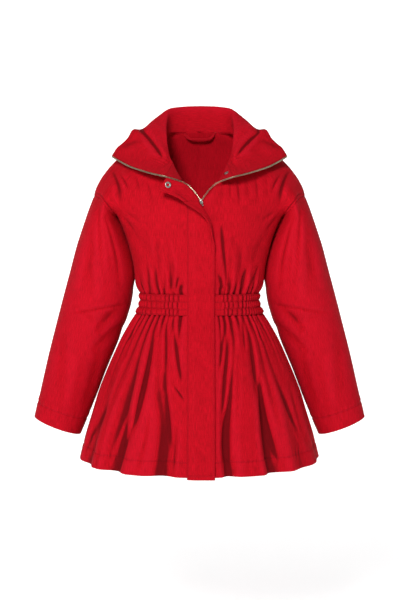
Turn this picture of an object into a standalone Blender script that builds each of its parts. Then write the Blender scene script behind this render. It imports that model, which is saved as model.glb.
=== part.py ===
"""A red twill zip jacket, filled out as worn, built as the pieces a maker cuts and sews.

The front faces -Y, +X is the viewer's right and +Z is up. The origin lies between the
shoulders at the base of the neck, where a wearer holds the jacket. Tables and shapes are
in millimetres; the meshes are made in metres. "Left" is the viewer's left.

Each cloth piece is a surface of two parameters on a grid, made into a thin closed wall.
"""

import bpy
import numpy as np

MM = 0.001

# Cloth
CLOTH = 1.6  # wall of a panel
DOUBLE = 2.6  # wall of a turned edge: collar, lapels and placket
HALF_SEAM = 0.15  # each piece stops this far short of its seam

# Heights of the seams round the body, and the line where the fronts meet
BAND_TOP = -318.0
BAND_BOTTOM = -361.0
HEM = -668.0
CENTRE_X = 3.0
ZIP_GAP = 3.0  # from the centre line to each front's edge

# Rings round the body: half width at the side, depth to the front and to the back,
# and how square the ring is (2 is an ellipse).
RINGS = [
    # height, half width, front, back, squareness
    (-705.0, 266.0, 181.0, 172.0, 2.40),
    (-668.0, 256.5, 175.0, 166.0, 2.40),
    (-626.0, 246.5, 168.0, 160.0, 2.35),
    (-568.0, 229.0, 158.0, 150.0, 2.30),
    (-527.0, 216.5, 151.0, 143.0, 2.30),
    (-486.0, 200.5, 142.0, 135.0, 2.25),
    (-451.0, 185.5, 133.0, 127.0, 2.25),
    (-419.0, 171.0, 123.0, 118.0, 2.20),
    (-395.0, 158.0, 114.0, 108.0, 2.20),
    (-378.0, 148.0, 107.0, 101.0, 2.20),
    (-361.0, 136.7, 100.0, 94.0, 2.20),
    (-345.0, 128.5, 96.0, 91.0, 2.20),
    (-330.0, 126.0, 95.0, 90.0, 2.20),
    (-318.0, 128.5, 97.0, 92.0, 2.20),
    (-306.0, 135.0, 103.0, 98.0, 2.20),
    (-294.0, 138.0, 107.5, 101.0, 2.20),
    (-270.0, 140.0, 111.5, 104.0, 2.20),
    (-235.0, 147.0, 116.0, 108.0, 2.20),
    (-177.0, 165.3, 120.5, 114.0, 2.20),
    (-155.0, 174.6, 121.0, 115.0, 2.20),
    (-120.0, 178.0, 120.0, 115.0, 2.20),
]


def through(rows, x):
    """A smooth curve through a table's rows: the first column is where, the rest what.

    Between two rows it is the cubic that leaves and meets them at the slopes of the table.
    """
    rows = np.asarray(rows, float)
    at, values = rows[:, 0], rows[:, 1:]
    slopes = np.gradient(values, at, axis=0)
    x = np.clip(x, at[0], at[-1])
    i = np.clip(np.searchsorted(at, x) - 1, 0, len(at) - 2)
    step = (at[i + 1] - at[i])[..., None]
    s = (x - at[i])[..., None] / step
    rise = s * s * (3 - 2 * s)
    leave = s * (1 - s) ** 2
    meet = s * s * (s - 1)
    return (
        values[i] * (1 - rise)
        + values[i + 1] * rise
        + step * (leave * slopes[i] + meet * slopes[i + 1])
    )


def ease(x):
    """Nought before 0, one after 1, and smooth between."""
    x = np.clip(x, 0, 1)
    return x * x * (3 - 2 * x)


def quarter(start, end, corner, turn, squareness):
    """A quarter round from start (turn 0) to end (turn 1) about a corner point."""
    angle = np.radians(90) * turn
    power = 2 / squareness
    near = np.cos(angle).clip(0) ** power
    far = np.sin(angle).clip(0) ** power
    return corner + (start - corner) * near[..., None] + (end - corner) * far[..., None]


def stack(*columns):
    return np.stack(np.broadcast_arrays(*columns), axis=-1)


def ring(turn, height):
    """Points round the body. Turn is 0 at centre front, 1 at the side, 2 at centre back."""
    half, front, back, square = np.moveaxis(through(RINGS, height), -1, 0)
    depth = np.where(turn <= 1, -front, back)
    centre = stack(CENTRE_X * np.abs(turn - 1), 0, height)
    face = stack(centre[..., 0], depth, height)
    side = stack(half, 0, height)
    return quarter(face, side, centre, 1 - np.abs(1 - turn), square)


def ring_out(turn, height):
    """The level direction that points straight out of the ring."""
    ahead = ring(np.clip(turn + 0.01, 0, 2), height)
    behind = ring(np.clip(turn - 0.01, 0, 2), height)
    along = ahead - behind
    out = stack(along[..., 1], -along[..., 0], 0 * height)
    return out / np.linalg.norm(out, axis=-1, keepdims=True)


def troughs(place, centre, depth, before, after):
    """How far a row of troughs presses the cloth in, each wider on one side than the other."""
    away = place - centre
    width = np.where(away < 0, before, after)
    return depth * 0.5 * (1 + np.cos(np.pi * np.clip(away / width, -1, 1)))


# ---------------------------------------------------------------- meshes

RED = (0.50, 0.012, 0.022)
ZIP_BRASS = (0.62, 0.52, 0.38)
STEEL = (0.62, 0.60, 0.57)


def material(name, colour, roughness, metallic):
    made = bpy.data.materials.new(name)
    made.use_nodes = True
    shader = made.node_tree.nodes["Principled BSDF"]
    shader.inputs["Base Color"].default_value = (*colour, 1)
    shader.inputs["Roughness"].default_value = roughness
    shader.inputs["Metallic"].default_value = metallic
    return made


def add(name, points, faces, finish):
    mesh = bpy.data.meshes.new(name)
    mesh.from_pydata((np.asarray(points) * MM).tolist(), [], [list(map(int, f)) for f in faces])
    mesh.materials.append(finish)
    mesh.shade_smooth()
    mesh.set_sharp_from_angle(angle=np.radians(50))
    made = bpy.data.objects.new(name, mesh)
    bpy.context.scene.collection.objects.link(made)
    return made


def quads(rows, columns, closed=False, kept=None):
    """The faces of a grid. A closed grid joins its last column to its first."""
    last = columns if closed else columns - 1
    i, j = np.meshgrid(np.arange(rows - 1), np.arange(last), indexing="ij")
    if kept is not None:
        i, j = i[kept], j[kept]
    i, j = i.ravel(), j.ravel()
    k = (j + 1) % columns
    return np.stack([i * columns + j, i * columns + k, (i + 1) * columns + k, (i + 1) * columns + j], 1)


def normals(points, faces):
    """At each point, the mean direction of the faces that meet there."""
    flat = points.reshape(-1, 3)
    a, b, c, d = (flat[faces[:, i]] for i in range(4))
    facing = np.cross(c - a, d - b)
    total = np.zeros_like(flat)
    for i in range(4):
        np.add.at(total, faces[:, i], facing)
    return (total / np.linalg.norm(total, axis=1, keepdims=True).clip(1e-9)).reshape(points.shape)


def split(points, faces):
    """Cuts each face of four corners along its shorter diagonal."""
    a, b, c, d = faces.T
    across = np.linalg.norm(points[a] - points[c], axis=1) <= np.linalg.norm(points[b] - points[d], axis=1)
    first = np.where(across[:, None], np.stack([a, b, c], 1), np.stack([a, b, d], 1))
    second = np.where(across[:, None], np.stack([a, c, d], 1), np.stack([b, c, d], 1))
    return np.concatenate([first, second])


def wall(name, points, faces, out, thick, finish):
    """A closed wall: the outer points, the same points moved in, and a rim round each edge."""
    if (normals(points, faces) * out).sum() < 0:
        faces = faces[:, ::-1]
    outer = points.reshape(-1, 3)
    out = out.reshape(-1, 3)
    inner = outer - out * np.broadcast_to(thick, points.shape[:-1]).reshape(-1, 1)
    used = np.unique(faces)
    slot = np.full(len(outer), -1)
    slot[used] = np.arange(len(used))
    faces = slot[split(outer, faces)]
    count = len(used)
    edges = {(a, b) for face in faces for a, b in zip(face, np.roll(face, -1))}
    rims = [(b, a, a + count, b + count) for a, b in sorted(edges) if (b, a) not in edges]
    both = [*faces, *(faces[:, ::-1] + count), *rims]
    return add(name, np.concatenate([outer[used], inner[used]]), both, finish)


def flatten(out, rows, axis):
    """Keeps the wall's edge in the plane of its seam: no part of its thickness along axis."""
    out[rows + (axis,)] = 0
    out[rows] /= np.linalg.norm(out[rows], axis=-1, keepdims=True)


def mirrored(points):
    return points * np.array([-1.0, 1.0, 1.0])


# ---------------------------------------------------------------- skirt

# Gathers of the skirt's fronts. Turn is 0 at centre front and 1 at the side seam.
# A short one dies out within its reach; a long one widens into a flute of the hem.
SKIRT_LEFT = [
    # turn at band, turn at hem, depth at band, depth at hem, reach, before, after
    (0.19, 0.05, 2.4, 0.0, 0.10, 0.6, 0.6),
    (0.27, 0.09, 2.6, 2.0, 0.25, 0.6, 0.6),
    (0.34, 0.15, 2.8, 15.0, 1.00, 1.2, 0.7),
    (0.41, 0.30, 2.4, 0.0, 0.14, 0.6, 0.6),
    (0.47, 0.44, 3.0, 19.0, 1.00, 0.7, 1.3),
    (0.54, 0.55, 2.2, 0.0, 0.18, 0.6, 0.6),
    (0.62, 0.63, 2.4, 0.0, 0.12, 0.6, 0.6),
    (0.70, 0.73, 3.0, 11.0, 1.00, 1.1, 1.0),
    (0.85, 0.88, 2.2, 0.0, 0.20, 0.6, 0.6),
]
SKIRT_RIGHT = [
    (0.20, 0.05, 2.4, 0.0, 0.10, 0.6, 0.6),
    (0.28, 0.10, 2.8, 14.0, 1.00, 0.6, 0.9),
    (0.36, 0.18, 2.4, 0.0, 0.12, 0.6, 0.6),
    (0.43, 0.26, 2.6, 0.0, 0.20, 0.6, 0.6),
    (0.50, 0.35, 3.0, 19.0, 1.00, 0.7, 1.3),
    (0.58, 0.48, 2.4, 0.0, 0.14, 0.6, 0.6),
    (0.67, 0.60, 2.8, 7.0, 1.00, 1.0, 1.0),
    (0.77, 0.74, 2.4, 0.0, 0.12, 0.6, 0.6),
    (0.87, 0.88, 2.2, 4.0, 0.60, 0.8, 0.8),
]
SKIRT_BACK = [
    (1.10, 1.10, 2.4, 0.0, 0.16, 0.6, 0.6),
    (1.22, 1.20, 2.6, 9.0, 1.00, 1.0, 1.1),
    (1.33, 1.33, 2.4, 0.0, 0.12, 0.6, 0.6),
    (1.44, 1.45, 3.0, 15.0, 1.00, 1.2, 0.8),
    (1.54, 1.57, 2.4, 0.0, 0.20, 0.6, 0.6),
    (1.64, 1.68, 2.6, 0.0, 0.12, 0.6, 0.6),
    (1.74, 1.79, 2.8, 13.0, 1.00, 0.9, 1.2),
    (1.84, 1.88, 2.4, 0.0, 0.14, 0.6, 0.6),
    (1.94, 1.95, 2.4, 0.0, 0.20, 0.5, 0.5),
]
HEM_DROP = [
    # turn, how much lower the hem hangs than at the side
    (0.0, 16.0),
    (0.4, 12.0),
    (0.8, 4.0),
    (1.0, 0.0),
    (1.2, 4.0),
    (1.6, 10.0),
    (2.0, 12.0),
]
SKIRT_ROWS = (0, 0.03, 0.08, 0.15, 0.24, 0.36, 0.50, 0.66, 0.83, 1)
STEPS = 3  # columns from one gather to the next on the fronts
BACK_STEPS = 2  # and on the back


def gather_turns(table, first, last, cloth, down):
    """Where each column runs. Column k + 1 follows the table's row k from band to hem."""
    rows = np.asarray(table)
    at = np.arange(len(rows) + 2)
    top = np.concatenate([[first], rows[:, 0], [last]])
    low = np.concatenate([[first], rows[:, 1], [last]])
    turn = through(np.stack([at, top, low], 1), cloth)
    spread = ease(down * 1.15) ** 0.8
    return turn[..., 0] * (1 - spread) + turn[..., 1] * spread


def gather_depths(table, cloth, down):
    """How far the gathers press the cloth in, at a column and a share of the way down."""
    total = np.zeros(np.broadcast(cloth, down).shape)
    for k, (_, _, at_band, at_hem, reach, before, after) in enumerate(table):
        short = at_band * (1 - ease(down / reach if reach < 1 else down / 0.35))
        depth = short + at_hem * ease(down / 0.9)
        widen = ease(down / 0.5)
        left = 0.5 + (before - 0.5) * widen
        right = 0.5 + (after - 0.5) * widen
        total = total + troughs(cloth, k + 1, depth, left, right)
    return total


def skirt(table, first, last, cloth, down):
    """The skirt: rings that widen from band to hem, pressed in where the gathers run."""
    turn = gather_turns(table, first, last, cloth, down)
    drop = through(HEM_DROP, turn)[..., 0]
    height = BAND_BOTTOM + (HEM - BAND_BOTTOM - drop) * down
    out = ring_out(turn, height)
    return ring(turn, height) - out * gather_depths(table, cloth, down)[..., None], out


def grid_of(count, rows, steps=STEPS):
    cloth = np.linspace(0, count + 1, (count + 1) * steps + 1)
    return np.meshgrid(cloth, np.asarray(rows, float))


def skirts(cloth_finish):
    for name, table, side in (("skirt_left", SKIRT_LEFT, -1), ("skirt_right", SKIRT_RIGHT, 1)):
        cloth, down = grid_of(len(table), SKIRT_ROWS)
        points, out = skirt(table, 0.0, 1.0, cloth, down)
        points[0, :, 2] -= HALF_SEAM
        points[:, -1, 1] -= HALF_SEAM
        flatten(out, (slice(None), -1), 1)
        finish_front(name, points, out, side, cloth_finish)
    cloth, down = grid_of(len(SKIRT_BACK), SKIRT_ROWS, BACK_STEPS)
    half, out = skirt(SKIRT_BACK, 1.0, 2.0, cloth, down)
    half[0, :, 2] -= HALF_SEAM
    half[:, 0, 1] += HALF_SEAM
    flatten(out, (slice(None), 0), 1)
    whole_back("skirt_back", half, out, cloth_finish)


def finish_front(name, points, out, side, finish, thick=CLOTH):
    """Sets the edge beside the zip, turns the piece to its side and makes its wall."""
    shift = 1 - ease(np.abs(points[..., 0] - CENTRE_X) / 60)
    points[..., 0] += ZIP_GAP * shift
    flatten(out, (slice(None), 0), 0)
    if side < 0:
        points[..., 0] = -(points[..., 0] - 2 * CENTRE_X * ease(1 - (points[..., 0] - CENTRE_X) / 120))
        out = mirrored(out)
    wall(name, points, quads(*points.shape[:2]), out, thick, finish)


def whole_back(name, half, out, finish, joined=None, thick=CLOTH):
    """Joins a half back to its mirror image at centre back, and makes one wall.

    Joined is the number of rows, from the first, that meet at centre back.
    """
    rows, columns = half.shape[:2]
    joined = rows if joined is None else joined
    half[:joined, -1, 0] = 0
    flatten(out, (slice(joined), -1), 0)
    faces = quads(rows, columns)
    other = faces[:, ::-1] + rows * columns
    centre = np.arange(joined) * columns + columns - 1
    swap = np.arange(2 * rows * columns)
    swap[centre + rows * columns] = centre
    points = np.stack([half, mirrored(half)])
    out = np.stack([out, mirrored(out)])
    wall(name, points, np.concatenate([faces, swap[other]]), out, thick, finish)


# ---------------------------------------------------------------- waist band

BAND_ROWS = 3  # tunnels for the elastic
PUFF = 2.4  # how far a tunnel stands out
RIPPLE = 1.5  # how deep the shirring is
PLAIN_TURN = 0.17  # the front is plain from the zip to here


def band(turn, down, ripple):
    """Three puffed tunnels, shirred by the elastic."""
    height = BAND_TOP + (BAND_BOTTOM - BAND_TOP) * down
    puff = PUFF * np.abs(np.sin(np.pi * BAND_ROWS * down)) ** 0.7
    gathered = ease((turn - PLAIN_TURN) / 0.08)
    out = ring_out(turn, height)
    depth = gathered * (puff - RIPPLE * ripple)
    return ring(turn, height) + out * depth[..., None], out


def bands(cloth_finish):
    rows = np.linspace(0, 1, 2 * BAND_ROWS + 1)
    for name, side in (("band_left", -1), ("band_right", 1)):
        turns = np.concatenate([[0], np.linspace(PLAIN_TURN, 1, 16)])
        zigzag = np.arange(len(turns)) % 2
        turn, down = np.meshgrid(turns, rows)
        points, out = band(turn, down, np.broadcast_to(zigzag, turn.shape))
        points[0, :, 2] -= HALF_SEAM
        points[-1, :, 2] += HALF_SEAM
        points[:, -1, 1] -= HALF_SEAM
        flatten(out, (slice(None), -1), 1)
        finish_front(name, points, out, side, cloth_finish)
    turns = np.linspace(1, 2, 15)
    turn, down = np.meshgrid(turns, rows)
    half, out = band(turn, down, np.broadcast_to(np.arange(len(turns)) % 2, turn.shape))
    half[0, :, 2] -= HALF_SEAM
    half[-1, :, 2] += HALF_SEAM
    half[:, 0, 1] += HALF_SEAM
    flatten(out, (slice(None), 0), 1)
    whole_back("band_back", half, out, cloth_finish)


# ---------------------------------------------------------------- armhole

# The armhole's seam, from the shoulder tip over the front to the underarm, and back.
ARMHOLE = [
    # share round, outwards, y, height
    (-0.07, 221.0, 27.0, -112.5),
    (0.00, 225.8, 0.0, -111.4),
    (0.07, 221.5, -26.0, -113.0),
    (0.15, 210.0, -52.0, -118.0),
    (0.25, 199.5, -75.0, -131.0),
    (0.35, 186.0, -62.0, -146.0),
    (0.43, 178.0, -33.0, -152.5),
    (0.50, 174.6, 0.0, -155.2),
    (0.57, 179.0, 36.0, -152.5),
    (0.65, 189.0, 66.0, -145.0),
    (0.75, 203.0, 80.0, -131.0),
    (0.85, 213.0, 56.0, -117.5),
    (0.93, 221.0, 27.0, -112.5),
    (1.00, 225.8, 0.0, -111.4),
    (1.07, 221.5, -26.0, -113.0),
]
ARM_SHARES = np.array([0, 0.03, 0.07, 0.12, 0.18, 0.25, 0.32, 0.39, 0.45, 0.5])


def armhole(share):
    return through(ARMHOLE, share)


def armhole_frame(share):
    """The way the walls thicken along this seam, and the way from body to sleeve."""
    turn = 2 * np.pi * share
    out = stack(0.5 + 0.5 * np.cos(turn), -np.sin(turn), 0.62 * np.cos(turn) - 0.38)
    along = armhole(share + 0.005) - armhole(share - 0.005)
    along /= np.linalg.norm(along, axis=-1, keepdims=True)
    out -= along * (out * along).sum(-1, keepdims=True)
    out /= np.linalg.norm(out, axis=-1, keepdims=True)
    across = np.cross(out, along)
    return out, across


# ---------------------------------------------------------------- fronts and back

# The front's inner edge: up the zip, along the opened lapel's roll, round the neck.
FRONT_EDGE = [
    # share of the way up, x, y, height
    (0.50, 3.0, -121.0, -127.0),
    (0.55, 13.0, -117.5, -114.5),
    (0.61, 31.0, -108.5, -93.0),
    (0.68, 49.0, -86.0, -65.0),
    (0.75, 58.0, -66.0, -45.0),
    (0.82, 65.5, -50.0, -31.0),
    (0.88, 71.0, -35.0, -18.5),
    (0.93, 75.5, -20.0, -4.5),
    (0.97, 78.0, -8.0, 6.0),
    (1.00, 79.0, 0.0, 12.0),
]
# The back's inner edge: up centre back, then round the neck to the shoulder.
BACK_EDGE = [
    (0.50, 0.0, 115.0, -150.0),
    (0.61, 0.0, 114.0, -95.0),
    (0.72, 0.0, 103.0, -30.0),
    (0.82, 0.0, 78.0, 30.0),
    (0.88, 34.0, 75.0, 29.5),
    (0.93, 61.0, 60.0, 28.5),
    (0.97, 76.0, 31.0, 22.5),
    (1.00, 79.0, 0.0, 12.0),
]
SECTIONS = [
    # share of the way up, squareness of the front's section and of the back's,
    # and how far the section's corner has moved out from mid depth
    (0.00, 2.20, 2.20, 0.00),
    (0.30, 2.30, 2.30, 0.00),
    (0.50, 2.50, 2.45, 0.00),
    (0.61, 2.10, 2.05, 0.50),
    (0.68, 1.95, 1.85, 0.85),
    (0.75, 1.85, 1.70, 0.95),
    (0.82, 1.75, 1.58, 1.00),
    (0.92, 1.65, 1.50, 1.00),
    (1.00, 1.60, 1.60, 1.00),
]
FRONT_LEFT = [
    # turn at band, turn above, depth at band, depth above, reach, before, after
    (0.20, 0.11, 3.0, 0.0, 0.12, 0.6, 0.6),
    (0.28, 0.25, 3.6, 0.0, 0.36, 0.6, 0.6),
    (0.36, 0.38, 3.2, 0.0, 0.16, 0.6, 0.6),
    (0.45, 0.51, 3.6, 0.0, 0.40, 0.7, 0.7),
    (0.57, 0.64, 3.0, 0.0, 0.14, 0.6, 0.6),
    (0.75, 0.79, 2.6, 0.0, 0.18, 0.6, 0.6),
]
FRONT_RIGHT = [
    (0.20, 0.10, 3.0, 0.0, 0.10, 0.6, 0.6),
    (0.27, 0.22, 3.6, 0.0, 0.42, 0.6, 0.6),
    (0.35, 0.36, 3.0, 0.0, 0.12, 0.6, 0.6),
    (0.46, 0.50, 3.4, 0.0, 0.36, 0.7, 0.7),
    (0.58, 0.63, 3.0, 0.0, 0.16, 0.6, 0.6),
    (0.76, 0.80, 2.6, 0.0, 0.14, 0.6, 0.6),
]
BACK_GATHERS = [
    (0.20, 0.20, 3.0, 0.0, 0.16, 0.6, 0.6),
    (0.38, 0.40, 3.4, 0.0, 0.34, 0.6, 0.6),
    (0.58, 0.60, 3.2, 0.0, 0.20, 0.6, 0.6),
    (0.78, 0.80, 3.0, 0.0, 0.30, 0.6, 0.6),
]
FALL = 1.3  # how soon a row drops from its inner edge to its outer edge
BODY_ROWS = np.concatenate([[0, 0.03, 0.075, 0.14, 0.24, 0.37], 1 - ARM_SHARES[::-1]])
ARM_ROW = 6  # from this row up the panels' outer edge is the armhole


def panel(edge, depth_column, sign, turn, up):
    """A front or back: each row is a quarter round from its inner edge to its outer edge.

    Below the underarm the outer edge is the side seam, and above it the armhole.
    """
    low = np.clip(up / 0.5, 0, 1)
    inner_top, inner_y = edge[0][3], edge[0][2]
    height = BAND_TOP + (inner_top - BAND_TOP) * low
    outer_height = BAND_TOP + (ARMHOLE[7][3] - BAND_TOP) * low
    rings = through(RINGS, height)
    settle = inner_y - sign * through(RINGS, np.array(inner_top))[depth_column]
    start = stack(edge[0][1], sign * rings[..., depth_column] + settle * low, height)
    start = np.where((up > 0.5)[..., None], through(edge, up), start)
    end = stack(through(RINGS, outer_height)[..., 0], 0, outer_height)
    share = 1 - up if sign < 0 else up
    end = np.where((up >= 0.5)[..., None], armhole(share), end)
    front_square, back_square, forward = np.moveaxis(through(SECTIONS, up), -1, 0)
    square = front_square if sign < 0 else back_square
    middle = forward * (start[..., 1] + end[..., 1]) / 2
    corner = stack(start[..., 0], middle, end[..., 2])
    points = quarter(start, end, corner, turn, square)
    fall = np.cos(np.radians(90) * turn).clip(0) ** FALL
    points[..., 2] = end[..., 2] + (start - end)[..., 2] * fall
    return points


def body_panel(edge, depth_column, sign, table, cloth, up):
    """The panel pressed in by its gathers, with the direction its wall thickens."""
    turn = gather_turns(table, 0.0, 1.0, cloth, up)
    turn = turn.clip(0, 1) ** (1 + 0.25 * ease((up - 0.5) / 0.2))
    points = panel(edge, depth_column, sign, turn, up)
    out = normals(points, quads(*points.shape[:2]))
    if (out[..., 1] * sign).sum() < 0:
        out = -out
    points = points - out * gather_depths(table, cloth, up)[..., None]
    flatten(out, (0, slice(None)), 2)
    flatten(out, (slice(ARM_ROW), -1), 1)
    flatten(out, (-1, slice(None)), 1)
    share = 1 - BODY_ROWS[ARM_ROW:] if sign < 0 else BODY_ROWS[ARM_ROW:]
    out[ARM_ROW:, -1] = armhole_frame(share)[0]
    points[ARM_ROW:, -1] = armhole(share) - HALF_SEAM * 1.2 * body_to_sleeve(share)
    points[0, :, 2] = BAND_TOP + HALF_SEAM
    points[-1, :, 1] += sign * HALF_SEAM
    points[:ARM_ROW + 1, -1, 1] += sign * HALF_SEAM
    return points, out


def body_to_sleeve(share):
    """The direction across the armhole's seam, from the body to the sleeve."""
    across = armhole_frame(share)[1]
    down_arm = np.array([0.62, 0, -0.78])
    return across * np.sign((across * down_arm).sum(-1, keepdims=True))


def bodice(cloth_finish):
    for name, table, side in (("front_left", FRONT_LEFT, -1), ("front_right", FRONT_RIGHT, 1)):
        cloth, up = grid_of(len(table), BODY_ROWS)
        points, out = body_panel(FRONT_EDGE, 1, -1, table, cloth, up)
        finish_front(name, points, out, side, cloth_finish)
    cloth, up = grid_of(len(BACK_GATHERS), BODY_ROWS, BACK_STEPS)
    points, out = body_panel(BACK_EDGE, 2, 1, BACK_GATHERS, cloth, up)
    neck_row = int(np.argmin(abs(BODY_ROWS - 0.82)))
    whole_back("back", points[:, ::-1], out[:, ::-1], cloth_finish, joined=neck_row + 1)


# ---------------------------------------------------------------- sleeves

SLEEVE = [
    # share down, outer x, outer height, inner x, inner height, middle y, half depth
    (0.00, 225.8, -111.4, 174.6, -155.2, 1.0, 78.0),
    (0.05, 233.0, -130.0, 172.6, -172.0, 2.0, 80.0),
    (0.12, 242.5, -156.0, 162.8, -192.0, 4.0, 80.0),
    (0.25, 262.0, -213.0, 144.8, -250.0, 9.0, 78.0),
    (0.38, 281.0, -280.0, 143.0, -310.0, 15.0, 75.0),
    (0.47, 293.0, -322.0, 149.5, -348.0, 20.0, 72.0),
    (0.60, 309.0, -380.0, 172.0, -412.0, 27.0, 68.0),
    (0.75, 327.5, -450.0, 203.0, -486.0, 31.0, 62.0),
    (0.90, 346.0, -530.0, 234.0, -566.0, 30.0, 55.0),
    (1.00, 359.0, -588.0, 260.0, -626.0, 27.0, 50.0),
]
SLEEVE_FOLDS = [
    # share round and down where it starts and ends, depth, half width
    (0.20, 0.02, 0.26, 0.36, 3.5, 9.0),
    (0.30, 0.04, 0.36, 0.40, 3.0, 8.0),
    (0.40, 0.46, 0.16, 0.54, 4.0, 12.0),
    (0.70, 0.03, 0.66, 0.34, 3.5, 9.0),
    (0.62, 0.44, 0.84, 0.56, 4.0, 12.0),
]
ROUND_SLEEVE = 460.0  # cloth round the sleeve
SLEEVE_ROWS = (0, 0.03, 0.08, 0.16, 0.25, 0.35, 0.44, 0.52, 0.64, 0.80, 0.93, 0.932, 1.0)
CUFF_START = 0.931  # the hem is turned up and stitched from here down
CUFF_STEP = 0.9  # how far the turned hem stands out


def sleeve_ring(share, down):
    """A ring of the sleeve: an oval between its outer and inner points."""
    outer_x, outer_z, inner_x, inner_z, middle_y, depth = np.moveaxis(through(SLEEVE, down), -1, 0)
    turn = 2 * np.pi * share
    across = 0.5 + 0.5 * np.cos(turn)
    x = inner_x + (outer_x - inner_x) * across
    z = inner_z + (outer_z - inner_z) * across
    return stack(x, middle_y - depth * np.sin(turn), z)


def creases(points, across, along, table, out):
    """Presses soft troughs into a surface, each along a line between two of its places."""
    total = np.zeros(across.shape)
    for start_u, start_v, end_u, end_v, depth, width in table:
        run = ((along - start_v) / (end_v - start_v)).clip(0, 1)
        centre = start_u + (end_u - start_u) * run
        span = ROUND_SLEEVE * np.abs(across - centre)
        fade = np.sin(np.pi * run).clip(0) ** 0.7
        total += depth * np.exp(-((span / width) ** 2)) * fade
    return points - out * total[..., None]


def sleeve(share, down):
    """From the armhole's own curve into the sleeve's rings."""
    leave = ease(down / 0.10)[..., None]
    seam = armhole(share) + (sleeve_ring(share, down) - sleeve_ring(share, 0 * down))
    return seam * (1 - leave) + sleeve_ring(share, down) * leave


def sleeves(cloth_finish):
    shares = np.concatenate([ARM_SHARES, 1 - ARM_SHARES[-2:0:-1]])
    share, down = np.meshgrid(shares, SLEEVE_ROWS)
    points = sleeve(share, down)
    faces = quads(*points.shape[:2], closed=True)
    out = normals(points, faces)
    middle = points.mean(axis=1, keepdims=True)
    out = out if ((points - middle) * out).sum() > 0 else -out
    points = creases(points, share, down, SLEEVE_FOLDS, out)
    points = points + out * (CUFF_STEP * (down > CUFF_START))[..., None]
    thick = CLOTH + CUFF_STEP * (down > CUFF_START)
    seam_out, _ = armhole_frame(shares)
    out[0] = seam_out
    points[0] = armhole(shares) + HALF_SEAM * 1.2 * body_to_sleeve(shares)
    for name, side in (("sleeve_left", -1), ("sleeve_right", 1)):
        if side < 0:
            wall(name, mirrored(points), faces, mirrored(out), thick, cloth_finish)
        else:
            wall(name, points, faces, out, thick, cloth_finish)


# ---------------------------------------------------------------- opened edges

# The zip's edge: from the slider up the opened lapel and the collar's front to its corner.
ZIP_EDGE = [
    # share of its length, x, y, height
    (0.00, 3.2, -123.5, -125.0),
    (0.10, 11.5, -120.5, -112.5),
    (0.20, 22.0, -115.5, -99.5),
    (0.28, 31.0, -113.5, -91.0),
    (0.38, 46.0, -117.0, -83.5),
    (0.50, 72.0, -127.0, -75.5),
    (0.60, 97.0, -117.0, -69.0),
    (0.70, 122.0, -99.0, -61.0),
    (0.80, 146.0, -75.0, -51.5),
    (0.90, 167.0, -52.0, -40.0),
    (1.00, 184.5, -36.0, -29.0),
]
ZIP_WIDE = 3.6
ZIP_THICK = 2.2
TAPE_EDGE = np.array([0.0, 0.0, ZIP_WIDE / 2 + 0.45])  # from the zip's middle to the cloth above it
LAPEL_LIFT = 0.45  # the lapel's underside clears the front at the roll by this
LAPEL_UP = (0.64, 0.68, 0.715, 0.75)  # rows along the roll, as shares of FRONT_EDGE
SEAM_ON_ZIP = 0.50  # where the seam between lapel and collar meets the zip's edge


def to_side(points, side):
    """Turns a piece worked out for the right to its own side. Centre front is not at x = 0."""
    if side > 0:
        return points
    shift = 2 * CENTRE_X * ease(1 - (points[..., :1] - CENTRE_X) / 120)
    return mirrored(points - shift * [1, 0, 0])


def zip_edge(share):
    return through(ZIP_EDGE, share)


def roll_line(up):
    """The lapel's fold: the front's edge, moved out so that the turned lapel clears it."""
    edge = through(FRONT_EDGE, up)
    out = np.array([0.35, -0.86, 0.35])
    return edge + out * (DOUBLE + LAPEL_LIFT)


def seam_frame():
    """Where the collar joins the lapel: both ends, the way out, and the way to the collar."""
    low = zip_edge(np.array(SEAM_ON_ZIP)) + TAPE_EDGE
    high = roll_line(np.array(0.75))
    along = (high - low) / np.linalg.norm(high - low)
    wing = zip_edge(np.array(0.7)) - low
    out = np.cross(wing, along)
    out[2] = 0
    out *= -np.sign(out[1]) / np.linalg.norm(out)
    to_collar = np.cross(along, out)
    to_collar *= np.sign(to_collar[0]) / np.linalg.norm(to_collar)
    return low, high, out, to_collar


def lapel_surface():
    """The turned-out top of the right front, from its roll to the zip, and its way out."""
    low, high, seam_out, to_collar = seam_frame()
    up, across = np.meshgrid(LAPEL_UP, np.linspace(0, 1, 4), indexing="ij")
    share = 0.36 + (SEAM_ON_ZIP - 0.36) * (up - LAPEL_UP[0]) / (LAPEL_UP[-1] - LAPEL_UP[0])
    inner = roll_line(up)
    outer = zip_edge(share) + TAPE_EDGE
    points = inner + (outer - inner) * across[..., None]
    points[-1] = high + (low - high) * across[-1][:, None]
    out = normals(points, quads(*points.shape[:2]))
    out = out if (out[..., 1]).sum() < 0 else -out
    flatten(out, (slice(None), -1), 2)
    out[-1] = seam_out
    points[-1] -= to_collar * HALF_SEAM
    return points, out


def lapels(cloth_finish):
    points, out = lapel_surface()
    for name, side in (("lapel_left", -1), ("lapel_right", 1)):
        facing = out if side > 0 else mirrored(out)
        wall(name, to_side(points, side), quads(*points.shape[:2]), facing, DOUBLE, cloth_finish)


# ---------------------------------------------------------------- collar

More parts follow.
